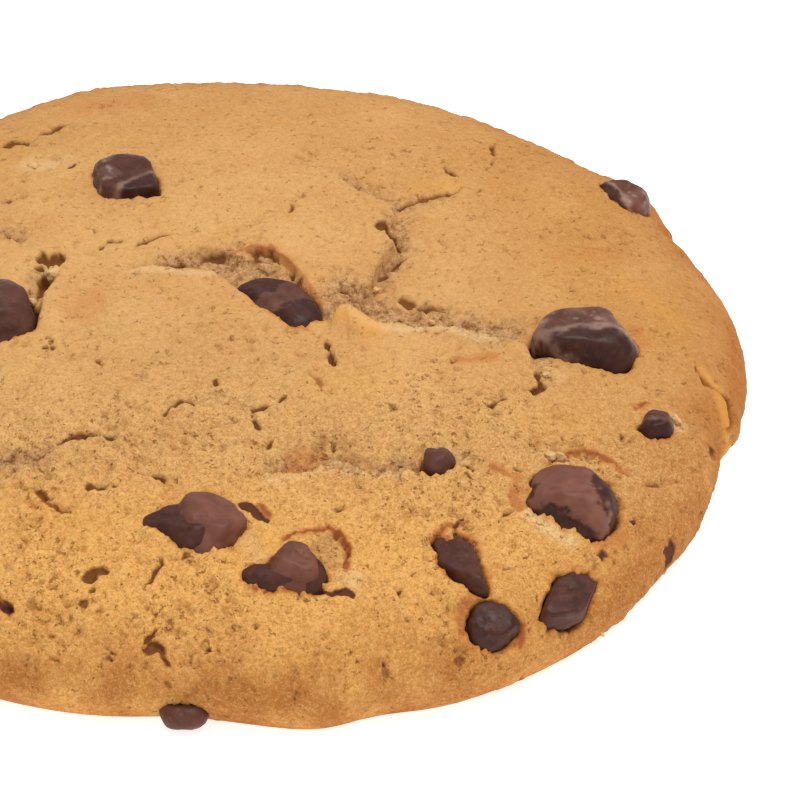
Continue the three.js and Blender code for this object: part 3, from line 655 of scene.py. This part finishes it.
def chip_frame(name):
    """Where a chip's middle is, and the matrix whose rows are its own axes."""
    x, y, lift, _, turn, lean, _ = CHIPS[name]
    middle = np.array([x, y, float(crust_height(np.array(x), np.array(y))) + lift])
    about_z, about_x = math.radians(turn), math.radians(lean)
    turning = np.array([[math.cos(about_z), -math.sin(about_z), 0],
                        [math.sin(about_z), math.cos(about_z), 0], [0, 0, 1]])
    leaning = np.array([[1, 0, 0], [0, math.cos(about_x), -math.sin(about_x)],
                        [0, math.sin(about_x), math.cos(about_x)]])
    return middle, (turning @ leaning).T


def lump_reach(size, flats, seed, ways):
    """How far a squarish lump with flats reaches from its middle along directions in its own axes."""
    scaled = ways / (np.array(size) / 2)
    length = np.linalg.norm(scaled, axis=1)
    unit = scaled / length[:, None]
    reach = (np.abs(unit) ** CHIP_SQUARENESS).sum(axis=1) ** (-1 / CHIP_SQUARENESS)
    waver = 0.05 * rough(unit, 0.5, seed, 2)
    sharpness = 14
    total = reach ** -sharpness
    for toward, share in flats:
        facing = np.array(toward) / np.linalg.norm(toward)
        total += (np.maximum(unit @ facing, 1e-3) / (share + waver)) ** sharpness
    return total ** (-1 / sharpness) * (1 + 0.07 * rough(unit, 0.9, seed + 3, 2)) / length


def chip_lumps(name):
    """The lumps of a chip: for each its middle, its axes, size, flats, seed and how milky it is."""
    seed = 100 + 10 * sorted(CHIPS).index(name)
    middle, axes = chip_frame(name)
    milky = SKINS.get(name, USUAL_SKIN)[0]
    if name not in LOBES:
        return [(middle, axes, CHIPS[name][3], CHIPS[name][6] + FACETS.get(name, []), seed, milky)]
    lumps = []
    for step, (x, y, z, size, turn, flats, milky) in enumerate(LOBES[name]):
        about = math.radians(turn)
        turned = np.array([[math.cos(about), math.sin(about), 0], [-math.sin(about), math.cos(about), 0],
                           [0, 0, 1]])
        lumps.append((middle + np.array([x, y, z]), turned, size, flats, seed + 5 * step, milky))
    return lumps


def chip_clearance(name, points):
    """The distance from points near a chip to its skin, in mm: negative inside the chip."""
    clearance = np.full(len(points), np.inf)
    for middle, axes, size, flats, seed, _ in chip_lumps(name):
        local = (points - middle) @ axes.T
        away = np.maximum(np.linalg.norm(local, axis=1), 1e-6)
        clearance = np.minimum(clearance, away - lump_reach(size, flats, seed, local / away[:, None]))
    return clearance


def ball(levels):
    """The corners and triangles of a ball cut up from an icosahedron."""
    mesh = bmesh.new()
    bmesh.ops.create_icosphere(mesh, subdivisions=levels, radius=1)
    mesh.verts.ensure_lookup_table()
    corners = np.array([vertex.co for vertex in mesh.verts])
    faces = [[vertex.index for vertex in face.verts] for face in mesh.faces]
    mesh.free()
    return corners / np.linalg.norm(corners, axis=1, keepdims=True), faces


def make_lump(name, lump):
    """One lump of a chip: corners, faces, and how milky and how dusty each corner is. Its sides turned from
    the light are painted dark as shade and sunk a little."""
    middle, axes, size, flats, seed, milky = lump
    _, dusty, shaded_sides = SKINS.get(name, USUAL_SKIN)
    levels = (5 if max(size) > 3.7 else 4) - 0
    ways, faces = ball(levels)
    reach = lump_reach(size, flats, seed, ways)
    skin = ways * reach[:, None]
    world_ways = ways @ axes
    ragged = 0.16 * rough(skin, 1.6, seed + 300) + 0.08 * rough(skin, 0.5, seed + 303)
    side_shade = np.zeros(len(ways))
    border = np.zeros(len(ways))
    # Sides facing these directions lose their milk and sink a little: painted shade on the sides turned
    # from the light, with bloom along its edge.
    for toward, share in shaded_sides:
        facing = world_ways @ (np.array(toward) / np.linalg.norm(toward)) + ragged
        side_shade = np.maximum(side_shade, ramp(facing, share - 0.02, share + 0.03))
        border = np.maximum(border, np.exp(-(((facing - share + 0.08) / 0.1) ** 2)))
    uneven = 0.05 * rough(skin, 1.5, seed + 305) + 0.03 * rough(skin, 0.45, seed + 307, 2)
    points = middle + (ways * (reach + uneven - 0.12 * side_shade)[:, None]) @ axes
    cloud = 0.5 + 0.5 * rough(skin, 1.8, seed + 311)
    milk = np.clip(milky * (0.75 + 0.4 * cloud) * (1 - side_shade), 0, 1)
    specks = ramp(rough(skin, 0.35, seed + 315, 2), 0.3, 0.7)
    patches = ramp(rough(skin, 2.0, seed + 319), 0.0, 0.6)
    bloom = dusty * (0.5 * border * (0.5 + cloud) + 0.5 * patches * (1 - side_shade) * (0.3 + specks))
    return points, faces, milk, np.clip(bloom + 0.04 * specks, 0, 1)


def make_chip(name):
    """One chip in one piece."""
    lumps = [make_lump(name, lump) for lump in chip_lumps(name)]
    chip = join_parts(name + "_set", [(points, faces) for points, faces, _, _ in lumps])
    add_mask(chip, "milk", np.concatenate([milk for _, _, milk, _ in lumps]))
    add_mask(chip, "bloom", np.concatenate([bloom for _, _, _, bloom in lumps]))
    return chip


# ---- meshes ---------------------------------------------------------------------------------

def mesh_object(name, points, faces):
    """An object from points in mm from the middle of the disc."""
    mesh = bpy.data.meshes.new(name)
    mesh.from_pydata(((points + DISC_CENTRE) * MM).tolist(), [], faces)
    mesh.update()
    thing = bpy.data.objects.new(name, mesh)
    bpy.context.scene.collection.objects.link(thing)
    return thing


def apply_modifiers(thing):
    """Turns an object's modifiers into its mesh."""
    bpy.context.view_layer.update()
    evaluated = thing.evaluated_get(bpy.context.evaluated_depsgraph_get())
    made = bpy.data.meshes.new_from_object(evaluated)
    thing.modifiers.clear()
    thing.data = made


def smooth_faces(thing):
    """Shades an object's faces smooth."""
    thing.data.polygons.foreach_set("use_smooth", [True] * len(thing.data.polygons))


def add_mask(thing, name, values):
    """Writes one number per vertex for the material to read."""
    layer = thing.data.attributes.new(name, "FLOAT", "POINT")
    layer.data.foreach_set("value", np.asarray(values, np.float32))


# ---- the dough ------------------------------------------------------------------------------

def held(name, offset):
    """The dough's rise beside a chip and its lap over it at offsets from the chip's middle."""
    turn = np.arctan2(offset[:, 1], offset[:, 0])
    total = np.zeros((3, len(offset)))
    for direction, rise, lap in HOLDS.get(name, USUAL_HOLD):
        nearness = np.exp(3.0 * (np.cos(turn - math.radians(direction)) - 1))
        total += nearness * np.array([[1.0], [rise], [lap]])
    return total[1] / total[0], total[2] / total[0]


def hold_chips(points, facing, footing, ragged):
    """Moves dough points to hold the chips, with lips round them and pockets under them. Gives how much
    each point is in a pocket, which is painted dark as shade, and how much it is beside a chip, which is
    stained there and painted as shade of the gap at the chip's edge."""
    uneven = rough(points, 1.4, 61)
    rise = np.zeros(len(points))
    sink = np.zeros(len(points))
    beside = np.zeros(len(points))
    push = np.zeros_like(points)
    for name in CHIPS:
        middle, _ = chip_frame(name)
        close = np.nonzero(np.linalg.norm(points - middle, axis=1) < max(CHIPS[name][3]) / 2 + 4)[0]
        offset = points[close] - middle
        swell, lap = held(name, offset)
        flat = np.hypot(offset[:, 0], offset[:, 1])
        lap = lap * ramp(flat / min(CHIPS[name][3][:2]), 0.2, 0.45)
        gap = chip_clearance(name, points[close])
        edge = gap + lap + 0.28 * uneven[close] + 0.08 * ragged[close]
        rise[close] += swell * (1 + 0.3 * uneven[close]) * np.exp(-(np.maximum(edge, 0) / LIP_WIDTH) ** 2)
        fall = POCKET_STEP * ramp(edge, 0.12, -0.7) + POCKET_FLOOR * ramp(edge, -0.6, -2.6)
        sink[close] = np.maximum(sink[close], fall)
        strength = HALOS.get(name, USUAL_HALO)
        halo = strength * np.exp(-(np.maximum(edge, 0) / HALO_WIDTH) ** 2)
        beside[close] = np.maximum(beside[close], halo)
        inward = -offset[:, :2] / np.maximum(flat, 0.1)[:, None]
        overhang = OVERHANG * np.exp(-((edge - 0.2) / OVERHANG) ** 2) * np.clip(lap + 0.2, 0, 1)
        push[close, :2] += inward * overhang[:, None]
    moved = points + facing * ((rise - sink) * footing)[:, None] + push * footing[:, None]
    return moved, ramp(sink, 0.1, 0.9), beside


def crust_relief(points):
    """How far each point of the plain crust goes out along its normal, in mm, and what its colour
    depends on."""
    ragged = rough(points, 0.5, 3)
    bend = 0.4 * sideways(points, 1.6, (11, 21), 2)
    slow_bend = 0.35 * sideways(points, 2.4, (12, 22), 1)
    uneven = rough(points, 1.1, 81)
    knobbly = np.abs(rough(points, 1.5, 5))
    grey = band_mask(points, GREY_BANDS, uneven)
    melted = band_mask(points, MELTED, ragged)

    coarse = np.clip(0.35 + 0.65 * ramp(points[:, 1], -4, -20) + 0.5 * grey, 0, 1.3)
    coarse *= 0.4 + 0.6 * ramp(points[:, 2], 3, 7)
    porous = np.clip(ramp(rough(points, 5.0, 41), -0.3, 0.6) * coarse + 0.7 * grey, 0, 1)
    calm = 0.25 + 0.75 * ramp(points[:, 2], 2.5, 7.0)

    lumps = 0.2 * rough(points, 7.0, 1) + coarse * (0.6 * (knobbly - 0.2) + 0.08 * ragged)
    crumbly = grey * (0.25 * rough(points, 0.9, 15, 2) - 0.15)
    steps = plate_steps(points, slow_bend + 0.2 * bend)
    cracks = crack_depth(points + bend, rough(points, 0.7, 9, 1)) * calm
    pits = pit_depth(points + 0.5 * bend, ragged) * (0.3 + 0.7 * calm)
    pores = 0.25 * calm * ramp(rough(points, 0.75, 51) + 0.4 * porous, 0.6, 0.95)
    veins = ramp(np.abs(rough(points, 3.4, 91)), 0.04, 0.0) * ramp(rough(points, 6.0, 95), 0.2, 0.7)
    relief = lumps + crumbly + steps - cracks - pits - pores - 0.2 * veins - 0.25 * melted

    # Cracks, pits, pores, creases and veins are painted darker through the hollow mask: painted shade in
    # these hollows.
    crease_shade = 0.12 * coarse * ramp(knobbly, 0.1, 0.0)
    looks = {
        "hollow_shade": 1.9 * cracks + 1.8 * pits + 1.3 * pores + crease_shade + 0.3 * veins,
        "porous": porous,
        "grey": grey,
        # The low side of each plate edge is greyed: painted shade.
        "sunk": 0.25 * ramp(-steps, 0.1, 0.7),
        "melted": melted,
        "uneven": uneven,
        "ragged": ragged,
    }
    return relief, looks


def crust_masks(points, plain_height, looks, pocket_shade, beside):
    """The masks of the crust's colour, each from 0 to 1."""
    x, y = points[:, 0], points[:, 1]
    uneven = looks["uneven"]
    edge_tone = ramp(plain_height / MIDDLE_HEIGHT, 0.82, 0.35)
    edge_tone *= 0.75 + 0.2 * ramp(x, 10, 30) + 0.5 * rough(points, 3.0, 87)
    toast = ramp(np.hypot(x, y) / DISC_RADIUS, 0.35, 0.85) * (0.55 + 0.45 * ramp(x, 2, 28))
    toast *= ramp(y + 0.5 * x, -12, 14) * (0.85 + 0.5 * rough(points, 6.0, 89))
    # Real stains, and painted shade: the shadowed wall beside the fissure chip and the dark gap at each
    # chip's edge.
    stain_and_shade = np.maximum(band_mask(points, STAINS_AND_SHADE, uneven), beside * np.clip(0.6 + 0.9 * uneven, 0, 1))
    masks = {
        # The pockets round the chips are painted dark along with the cracks: painted shade of the gap.
        "hollow_shade": looks["hollow_shade"] + pocket_shade,
        "porous": looks["porous"],
        "grainy": 0.2 + 0.8 * ramp(y, -2, -24) + 0.5 * looks["grey"],
        # Grey: crumb colour in the hollows, partly painted shade, with painted shade on the low side of
        # plate edges.
        "grey": looks["grey"] + looks["sunk"],
        "stain_and_shade": stain_and_shade,
        # Yellow and cream include painted light on the raised lips of broken plates.
        "yellow": band_mask(points, YELLOWS, uneven),
        "cream": band_mask(points, CREAMS, uneven),
        "browned": edge_tone,
        "toasted": toast,
        "golden": ramp(y, -18, -34),
        "melted": looks["melted"],
    }
    return {name: np.clip(values, 0, 1) for name, values in masks.items()}


def crust_points():
    """The fine crust and side as a flat list of grid points, with the masks of their colour."""
    plain = skin_points(*disc_grid(TOP_CELLS))
    facing = outward(plain).reshape(-1, 3)
    points = plain.reshape(-1, 3)
    plain_height = points[:, 2]
    footing = ramp(plain_height, 0.0, 1.2)
    relief, looks = crust_relief(points)
    points = points + facing * (relief * footing)[:, None]
    points, pocket_shade, beside = hold_chips(points, facing, footing, looks["ragged"])
    points[:, 2] = np.maximum(points[:, 2], 0)
    return points, crust_masks(points, plain_height, looks, pocket_shade, beside)


def foot_points():
    """The flat foot, a little dented upwards, as a flat list of grid points."""
    angle, distance = disc_grid(FOOT_CELLS)
    radius = (rim_radius(angle) - FOOT_INSET) * distance
    foot = np.stack([radius * np.cos(angle), radius * np.sin(angle), np.zeros_like(radius)], axis=-1)
    foot = foot.reshape(-1, 3)
    inner = ramp(distance.ravel(), 0.995, 0.95)
    foot[:, 2] = 0.3 * ramp(rough(foot, 2.2, 71), 0.3, 0.9) * inner
    return foot


def side_run(grid, i, j, next_i, next_j):
    """The fine grid's vertices along one coarse edge, without its last."""
    step = TOP_CELLS // FOOT_CELLS
    if i == next_i:
        row = TOP_CELLS if i else 0
        places = range(j * step, next_j * step, 1 if next_j > j else -1)
        return [grid[row, place] for place in places]
    column = TOP_CELLS if j else 0
    places = range(i * step, next_i * step, 1 if next_i > i else -1)
    return [grid[place, column] for place in places]


def dough_faces(crust_count):
    """Faces of the crust's fine grid and of the foot's coarse one, which share the foot's edge."""
    grid = np.arange((TOP_CELLS + 1) ** 2).reshape(TOP_CELLS + 1, TOP_CELLS + 1)
    corners = [grid[:-1, :-1], grid[1:, :-1], grid[1:, 1:], grid[:-1, 1:]]
    faces = np.stack([corner.ravel() for corner in corners], axis=1).tolist()
    last = FOOT_CELLS
    foot = np.arange((last + 1) ** 2).reshape(last + 1, last + 1) + crust_count
    for i in range(last):
        for j in range(last):
            ring = []
            around = [(i, j), (i, j + 1), (i + 1, j + 1), (i + 1, j)]
            for here, there in zip(around, around[1:] + around[:1]):
                on_edge = here[0] == there[0] in (0, last) or here[1] == there[1] in (0, last)
                if on_edge:
                    ring += side_run(grid, *here, *there)
                elif here[0] in (0, last) or here[1] in (0, last):
                    step = TOP_CELLS // last
                    ring.append(grid[here[0] * step, here[1] * step])
                else:
                    ring.append(foot[here])
            faces.append([int(vertex) for vertex in ring])
    return faces


def make_dough():
    """The whole dough as one closed mesh."""
    crust, masks = crust_points()
    foot = foot_points()
    dough = mesh_object("dough_baked", np.concatenate([crust, foot]), dough_faces(len(crust)))
    for name, values in masks.items():
        under = np.full(len(foot), 1.0 if name == "browned" else 0.0)
        add_mask(dough, name, np.concatenate([values, under]))
    clean_loose(dough)
    dough.modifiers.new("triangles", "TRIANGULATE")
    thin = dough.modifiers.new("thin", "DECIMATE")
    thin.ratio = min(1.0, DOUGH_TRIANGLES / (2 * (TOP_CELLS ** 2 + FOOT_CELLS ** 2)))
    apply_modifiers(dough)
    smooth_faces(dough)
    return dough


def clean_loose(thing):
    """Drops vertices that no face uses."""
    mesh = bmesh.new()
    mesh.from_mesh(thing.data)
    bmesh.ops.delete(mesh, geom=[vertex for vertex in mesh.verts if not vertex.link_faces], context="VERTS")
    mesh.to_mesh(thing.data)
    mesh.free()


# ---- crumbs ---------------------------------------------------------------------------------

def surface_finder(thing):
    """A function that gives the height in mm of an object's top at x and y."""
    tree = BVHTree.FromObject(thing, bpy.context.evaluated_depsgraph_get())

    def height(x, y):
        above = Vector((x + DISC_CENTRE[0], y + DISC_CENTRE[1], 30)) * MM
        spot, _, _, _ = tree.ray_cast(above, Vector((0, 0, -1)))
        return spot.z / MM if spot else WIDEST_HEIGHT

    return height


def join_parts(name, parts):
    """One object from several lists of corners and faces."""
    points = np.concatenate([corners for corners, _ in parts])
    faces = []
    start = 0
    for corners, part_faces in parts:
        faces += [[start + index for index in face] for face in part_faces]
        start += len(corners)
    thing = mesh_object(name, points, faces)
    smooth_faces(thing)
    return thing


def make_crumbs(height):
    """Crumbs of dough, each an uneven lump sunk a little in the crust."""
    ways, faces = ball(3)
    parts = []
    for index, (x, y, size) in enumerate(CRUMBS):
        shape = 1 + 0.4 * rough(ways * 2, 1.2, 200 + index) + 0.12 * rough(ways * 2, 0.4, 240 + index, 2)
        crumb = ways * shape[:, None] * CRUMB_SHAPE * size / 2
        if index % 2:
            crumb = crumb @ NOISE_TURN
        parts.append((crumb + np.array([x, y, height(x, y) + CRUMB_LIFT * size]), faces))
    crumbs = join_parts("crumbs", parts)
    add_mask(crumbs, "cream", np.full(len(crumbs.data.vertices), CRUMB_PALENESS))
    return crumbs


# ---- materials ------------------------------------------------------------------------------

def tone(name):
    """One of the screen colours as the linear colour that the shader takes."""
    linear = []
    for value in TONES[name]:
        part = value / 255
        linear.append(part / 12.92 if part <= 0.04045 else ((part + 0.055) / 1.055) ** 2.4)
    return (*linear, 1.0)


class Shader:
    """A material's nodes, made one line at a time."""

    def __init__(self, name):
        self.material = bpy.data.materials.new(name)
        self.material.use_nodes = True
        self.nodes = self.material.node_tree.nodes
        self.links = self.material.node_tree.links
        self.surface = self.nodes["Principled BSDF"]
        self.place = self.nodes.new("ShaderNodeTexCoord").outputs["Object"]

    def feed(self, target, given):
        """Links an output to a socket, or sets the socket to a number or colour."""
        if hasattr(given, "is_linked"):
            self.links.new(given, target)
        else:
            target.default_value = given

    def noise(self, size, detail=2.0, roughness=0.5):
        """Noise from 0 to 1 with lumps about size mm across."""
        mapping = self.nodes.new("ShaderNodeMapping")
        mapping.inputs["Scale"].default_value = [1 / (size * MM)] * 3
        self.feed(mapping.inputs["Vector"], self.place)
        node = self.nodes.new("ShaderNodeTexNoise")
        self.feed(node.inputs["Vector"], mapping.outputs["Vector"])
        node.inputs["Scale"].default_value = 1.0
        node.inputs["Detail"].default_value = detail
        node.inputs["Roughness"].default_value = roughness
        return node.outputs["Fac"]

    def mask(self, name):
        """A number that the mesh holds for each vertex."""
        node = self.nodes.new("ShaderNodeAttribute")
        node.attribute_name = name
        return node.outputs["Fac"]

    def ramp(self, given, low, high, to_low=0.0, to_high=1.0):
        """A smooth step between two values."""
        node = self.nodes.new("ShaderNodeMapRange")
        node.interpolation_type = "SMOOTHSTEP"
        self.feed(node.inputs["Value"], given)
        node.inputs["From Min"].default_value = low
        node.inputs["From Max"].default_value = high
        node.inputs["To Min"].default_value = to_low
        node.inputs["To Max"].default_value = to_high
        return node.outputs["Result"]

    def math(self, operation, first, second):
        """One sum on two numbers."""
        node = self.nodes.new("ShaderNodeMath")
        node.operation = operation
        self.feed(node.inputs[0], first)
        self.feed(node.inputs[1], second)
        return node.outputs["Value"]

    def mix(self, share, first, second):
        """A mix of two colours."""
        node = self.nodes.new("ShaderNodeMix")
        node.data_type = "RGBA"
        factor, colour_a, colour_b = node.inputs[0], node.inputs[6], node.inputs[7]
        self.feed(factor, share)
        self.feed(colour_a, first)
        self.feed(colour_b, second)
        return node.outputs[2]

    def bump(self, height, strength, depth, under=None):
        """A bumped normal from a height, depth in mm."""
        node = self.nodes.new("ShaderNodeBump")
        node.inputs["Strength"].default_value = strength
        node.inputs["Distance"].default_value = depth * MM
        self.feed(node.inputs["Height"], height)
        if under is not None:
            self.feed(node.inputs["Normal"], under)
        return node.outputs["Normal"]


def tinted(shader, colour, name, most):
    """A colour tinted with a tone of the same name as its mask, by most at the strongest."""
    return shader.mix(shader.math("MULTIPLY", shader.mask(name), most), colour, tone(name))


def sandy_colour(shader):
    """The plain colour of the crust: broad patches, golden in front, brown towards the rim, and greyish and
    crumbly in the hollows, where the grey is partly painted shade. It is pale in places, and on the raised
    lips of broken plates this pale colour is painted light."""
    broad = shader.ramp(shader.noise(9, 4, 0.6), 0.35, 0.65)
    colour = shader.mix(broad, tone("crust"), tone("light crust"))
    blotches = shader.ramp(shader.noise(2.6, 3, 0.6), 0.5, 0.72, 0.0, 0.35)
    colour = shader.mix(blotches, colour, tone("blotch"))
    for name, most in (("golden", 0.7), ("toasted", 0.9), ("browned", 0.95)):
        colour = tinted(shader, colour, name, most)
    crumbly = shader.ramp(shader.noise(0.7, 3, 0.7), 0.38, 0.6)
    crumbs = shader.mix(crumbly, tone("dark crumb"), tone("pale crumb"))
    colour = shader.mix(shader.math("MULTIPLY", shader.mask("grey"), 0.88), colour, crumbs)
    return tinted(shader, colour, "cream", 0.8)


def grainy_colour(shader, colour, strength):
    """A colour broken up into darker and lighter grains."""
    grains = shader.ramp(shader.noise(0.17, 2, 0.7), 0.36, 0.64)
    coarse_grains = shader.ramp(shader.noise(0.4, 3, 0.7), 0.36, 0.64)
    darker = shader.mix(strength, colour, tone("dark grain"))
    lighter = shader.mix(shader.math("MULTIPLY", strength, 0.75), colour, tone("light grain"))
    return shader.mix(grains, shader.mix(coarse_grains, darker, colour),
                      shader.mix(coarse_grains, colour, lighter))


def marked_colour(shader, colour):
    """A colour with the crust's stains (partly painted shade), the painted shade in its cracks, holes and
    chip pockets, and melted chocolate.
    """
    # Stains, and painted shade beside the fissure chip and at the chips' edges.
    light_stain_and_shade = shader.ramp(shader.mask("stain_and_shade"), 0.0, 0.5, 0.0, 0.6)
    colour = shader.mix(light_stain_and_shade, colour, tone("light stain and shade"))
    deep_stain_and_shade = shader.ramp(shader.mask("stain_and_shade"), 0.35, 1.0, 0.0, 0.85)
    colour = shader.mix(deep_stain_and_shade, colour, tone("deep stain and shade"))
    colour = tinted(shader, colour, "yellow", 0.55)
    # Inside cracks, holes and chip pockets the crust is painted dark brown, yellower in the yellow places:
    # painted shade.
    inside = shader.mix(shader.mask("yellow"), tone("hollow_shade"), tone("yellow hollow shade"))
    colour = shader.mix(shader.ramp(shader.mask("hollow_shade"), 0.08, 0.75), colour, inside)
    melted = shader.ramp(shader.mask("melted"), 0.25, 0.7, 0.0, 0.95)
    return shader.mix(melted, colour, tone("melted"))


def dough_material():
    """Baked dough: a matt sandy crust with grains and pores, the pores painted dark as shade, coarser in
    front.
    """
    shader = Shader("baked dough")
    grainy = shader.ramp(shader.mask("grainy"), 0.1, 0.9, 0.24, 0.6)
    grainy = shader.math("MULTIPLY", grainy, shader.ramp(shader.mask("browned"), 0.0, 1.0, 1.0, 0.65))
    spongy = shader.math("MULTIPLY", shader.mask("porous"), 0.05)
    pores = shader.ramp(shader.math("SUBTRACT", shader.noise(0.7, 3, 0.75), spongy), 0.38, 0.28)
    pore_shade_share = shader.ramp(shader.mask("grainy"), 0.1, 0.9, 0.45, 0.85)

    colour = grainy_colour(shader, sandy_colour(shader), grainy)
    # The small pores are painted dark brown: painted shade.
    colour = shader.mix(shader.math("MULTIPLY", pores, pore_shade_share), colour, tone("pore shade"))
    shader.feed(shader.surface.inputs["Base Color"], marked_colour(shader, colour))
    shader.surface.inputs["Roughness"].default_value = 0.85
    shader.surface.inputs["Specular IOR Level"].default_value = 0.15

    fine = shader.bump(shader.math("MULTIPLY", shader.noise(0.17, 2, 0.7), grainy), 0.8, 0.12)
    middling = shader.bump(shader.math("MULTIPLY", shader.noise(0.45, 3, 0.7), grainy), 0.8, 0.3, fine)
    sunken = shader.bump(shader.math("SUBTRACT", 1.0, pores), 0.7, 0.15, middling)
    coarse = shader.bump(shader.noise(1.1, 3, 0.65), 0.6, 0.2, sunken)
    shader.feed(shader.surface.inputs["Normal"], coarse)
    return shader.material


def chocolate_material():
    """Melted and set chocolate: dark, a colour that also paints shade on chip sides turned from the light,
    with a milkier satin skin and pale dusty bloom.
    """
    shader = Shader("set chocolate")
    cloud = shader.ramp(shader.noise(1.8, 3, 0.6), 0.35, 0.7)
    dark = shader.mix(cloud, tone("dark chocolate"), tone("brown chocolate"))
    milk = shader.mix(cloud, tone("dark milk"), tone("light milk"))
    colour = shader.mix(shader.mask("milk"), dark, milk)
    colour = shader.mix(shader.mask("bloom"), colour, tone("bloom"))
    shader.feed(shader.surface.inputs["Base Color"], colour)
    shader.surface.inputs["Specular IOR Level"].default_value = 0.17
    roughness = shader.ramp(shader.noise(0.9, 2), 0.3, 0.7, 0.36, 0.55)
    shader.feed(shader.surface.inputs["Roughness"], roughness)
    fine = shader.bump(shader.noise(0.3, 3, 0.6), 0.5, 0.03)
    coarse = shader.bump(shader.noise(0.9, 2, 0.5), 0.5, 0.08, fine)
    shader.feed(shader.surface.inputs["Normal"], coarse)
    return shader.material


# ---- light, floor and camera ----------------------------------------------------------------

def add_light(name, place, size, power, target):
    """A soft square light that faces a point; places are in metres."""
    data = bpy.data.lights.new(name, "AREA")
    data.shape = "SQUARE"
    data.size = size
    data.energy = power
    light = bpy.data.objects.new(name, data)
    light.location = place
    light.rotation_euler = (Vector(target) - Vector(place)).to_track_quat("-Z", "Y").to_euler()
    bpy.context.scene.collection.objects.link(light)


def make_floor():
    """A plain near-white floor."""
    half = FLOOR_SIDE / 2
    corners = [(-half, -half, 0), (half, -half, 0), (half, half, 0), (-half, half, 0)]
    mesh = bpy.data.meshes.new("floor")
    mesh.from_pydata(corners, [], [(0, 1, 2, 3)])
    floor = bpy.data.objects.new("floor", mesh)
    floor.location.z = -FLOOR_SINK * MM
    bpy.context.scene.collection.objects.link(floor)
    shader = Shader("plain floor")
    shader.surface.inputs["Base Color"].default_value = (0.84, 0.86, 0.88, 1)
    shader.surface.inputs["Roughness"].default_value = 0.9
    shader.surface.inputs["Emission Color"].default_value = (1, 1, 1, 1)
    shader.surface.inputs["Emission Strength"].default_value = FLOOR_GLOW
    floor.data.materials.append(shader.material)


def make_camera():
    """The camera, to the right of the cookie's middle, so that the left of the cookie is cut off."""
    pitch = math.radians(CAMERA_PITCH)
    aim = Vector(CAMERA_AIM) * MM
    away = CAMERA_AWAY * MM
    data = bpy.data.cameras.new("camera")
    data.sensor_width = 36
    data.lens = CAMERA_LENS
    data.clip_start = 0.01
    data.clip_end = 20
    camera = bpy.data.objects.new("camera", data)
    camera.location = aim + away * Vector((0, -math.cos(pitch), math.sin(pitch)))
    camera.rotation_euler = (math.pi / 2 - pitch, 0, 0)
    bpy.context.scene.collection.objects.link(camera)
    bpy.context.scene.camera = camera


def light_scene():
    """A large soft light above and behind, and a pale surround."""
    world = bpy.data.worlds.new("surround")
    world.use_nodes = True
    world.node_tree.nodes["Background"].inputs["Color"].default_value = (1, 1, 1, 1)
    world.node_tree.nodes["Background"].inputs["Strength"].default_value = SURROUND_LIGHT
    bpy.context.scene.world = world
    add_light("overhead", (0.15, 0.05, 0.6), 0.3, 2.5, (0, 0, 0))
    add_light("front fill", (-0.15, -0.6, 0.45), 0.5, 0.7, (0, 0, 0))
    bpy.context.scene.view_settings.view_transform = "Standard"


# ---- the scene ------------------------------------------------------------------------------

def place_piece(piece, material, replaced=()):
    """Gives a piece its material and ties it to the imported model."""
    piece.data.materials.clear()
    piece.data.materials.append(material)
    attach(piece, "root")
    if replaced:
        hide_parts(*replaced)


def build():
    """Everything in the scene."""
    chocolate = chocolate_material()
    baked = dough_material()
    dough = make_dough()
    place_piece(dough, baked, ["dough"])
    for name in CHIPS:
        place_piece(make_chip(name), chocolate, [name])
    height = surface_finder(dough)
    place_piece(make_crumbs(height), baked)
    make_floor()
    make_camera()
    light_scene()


build()
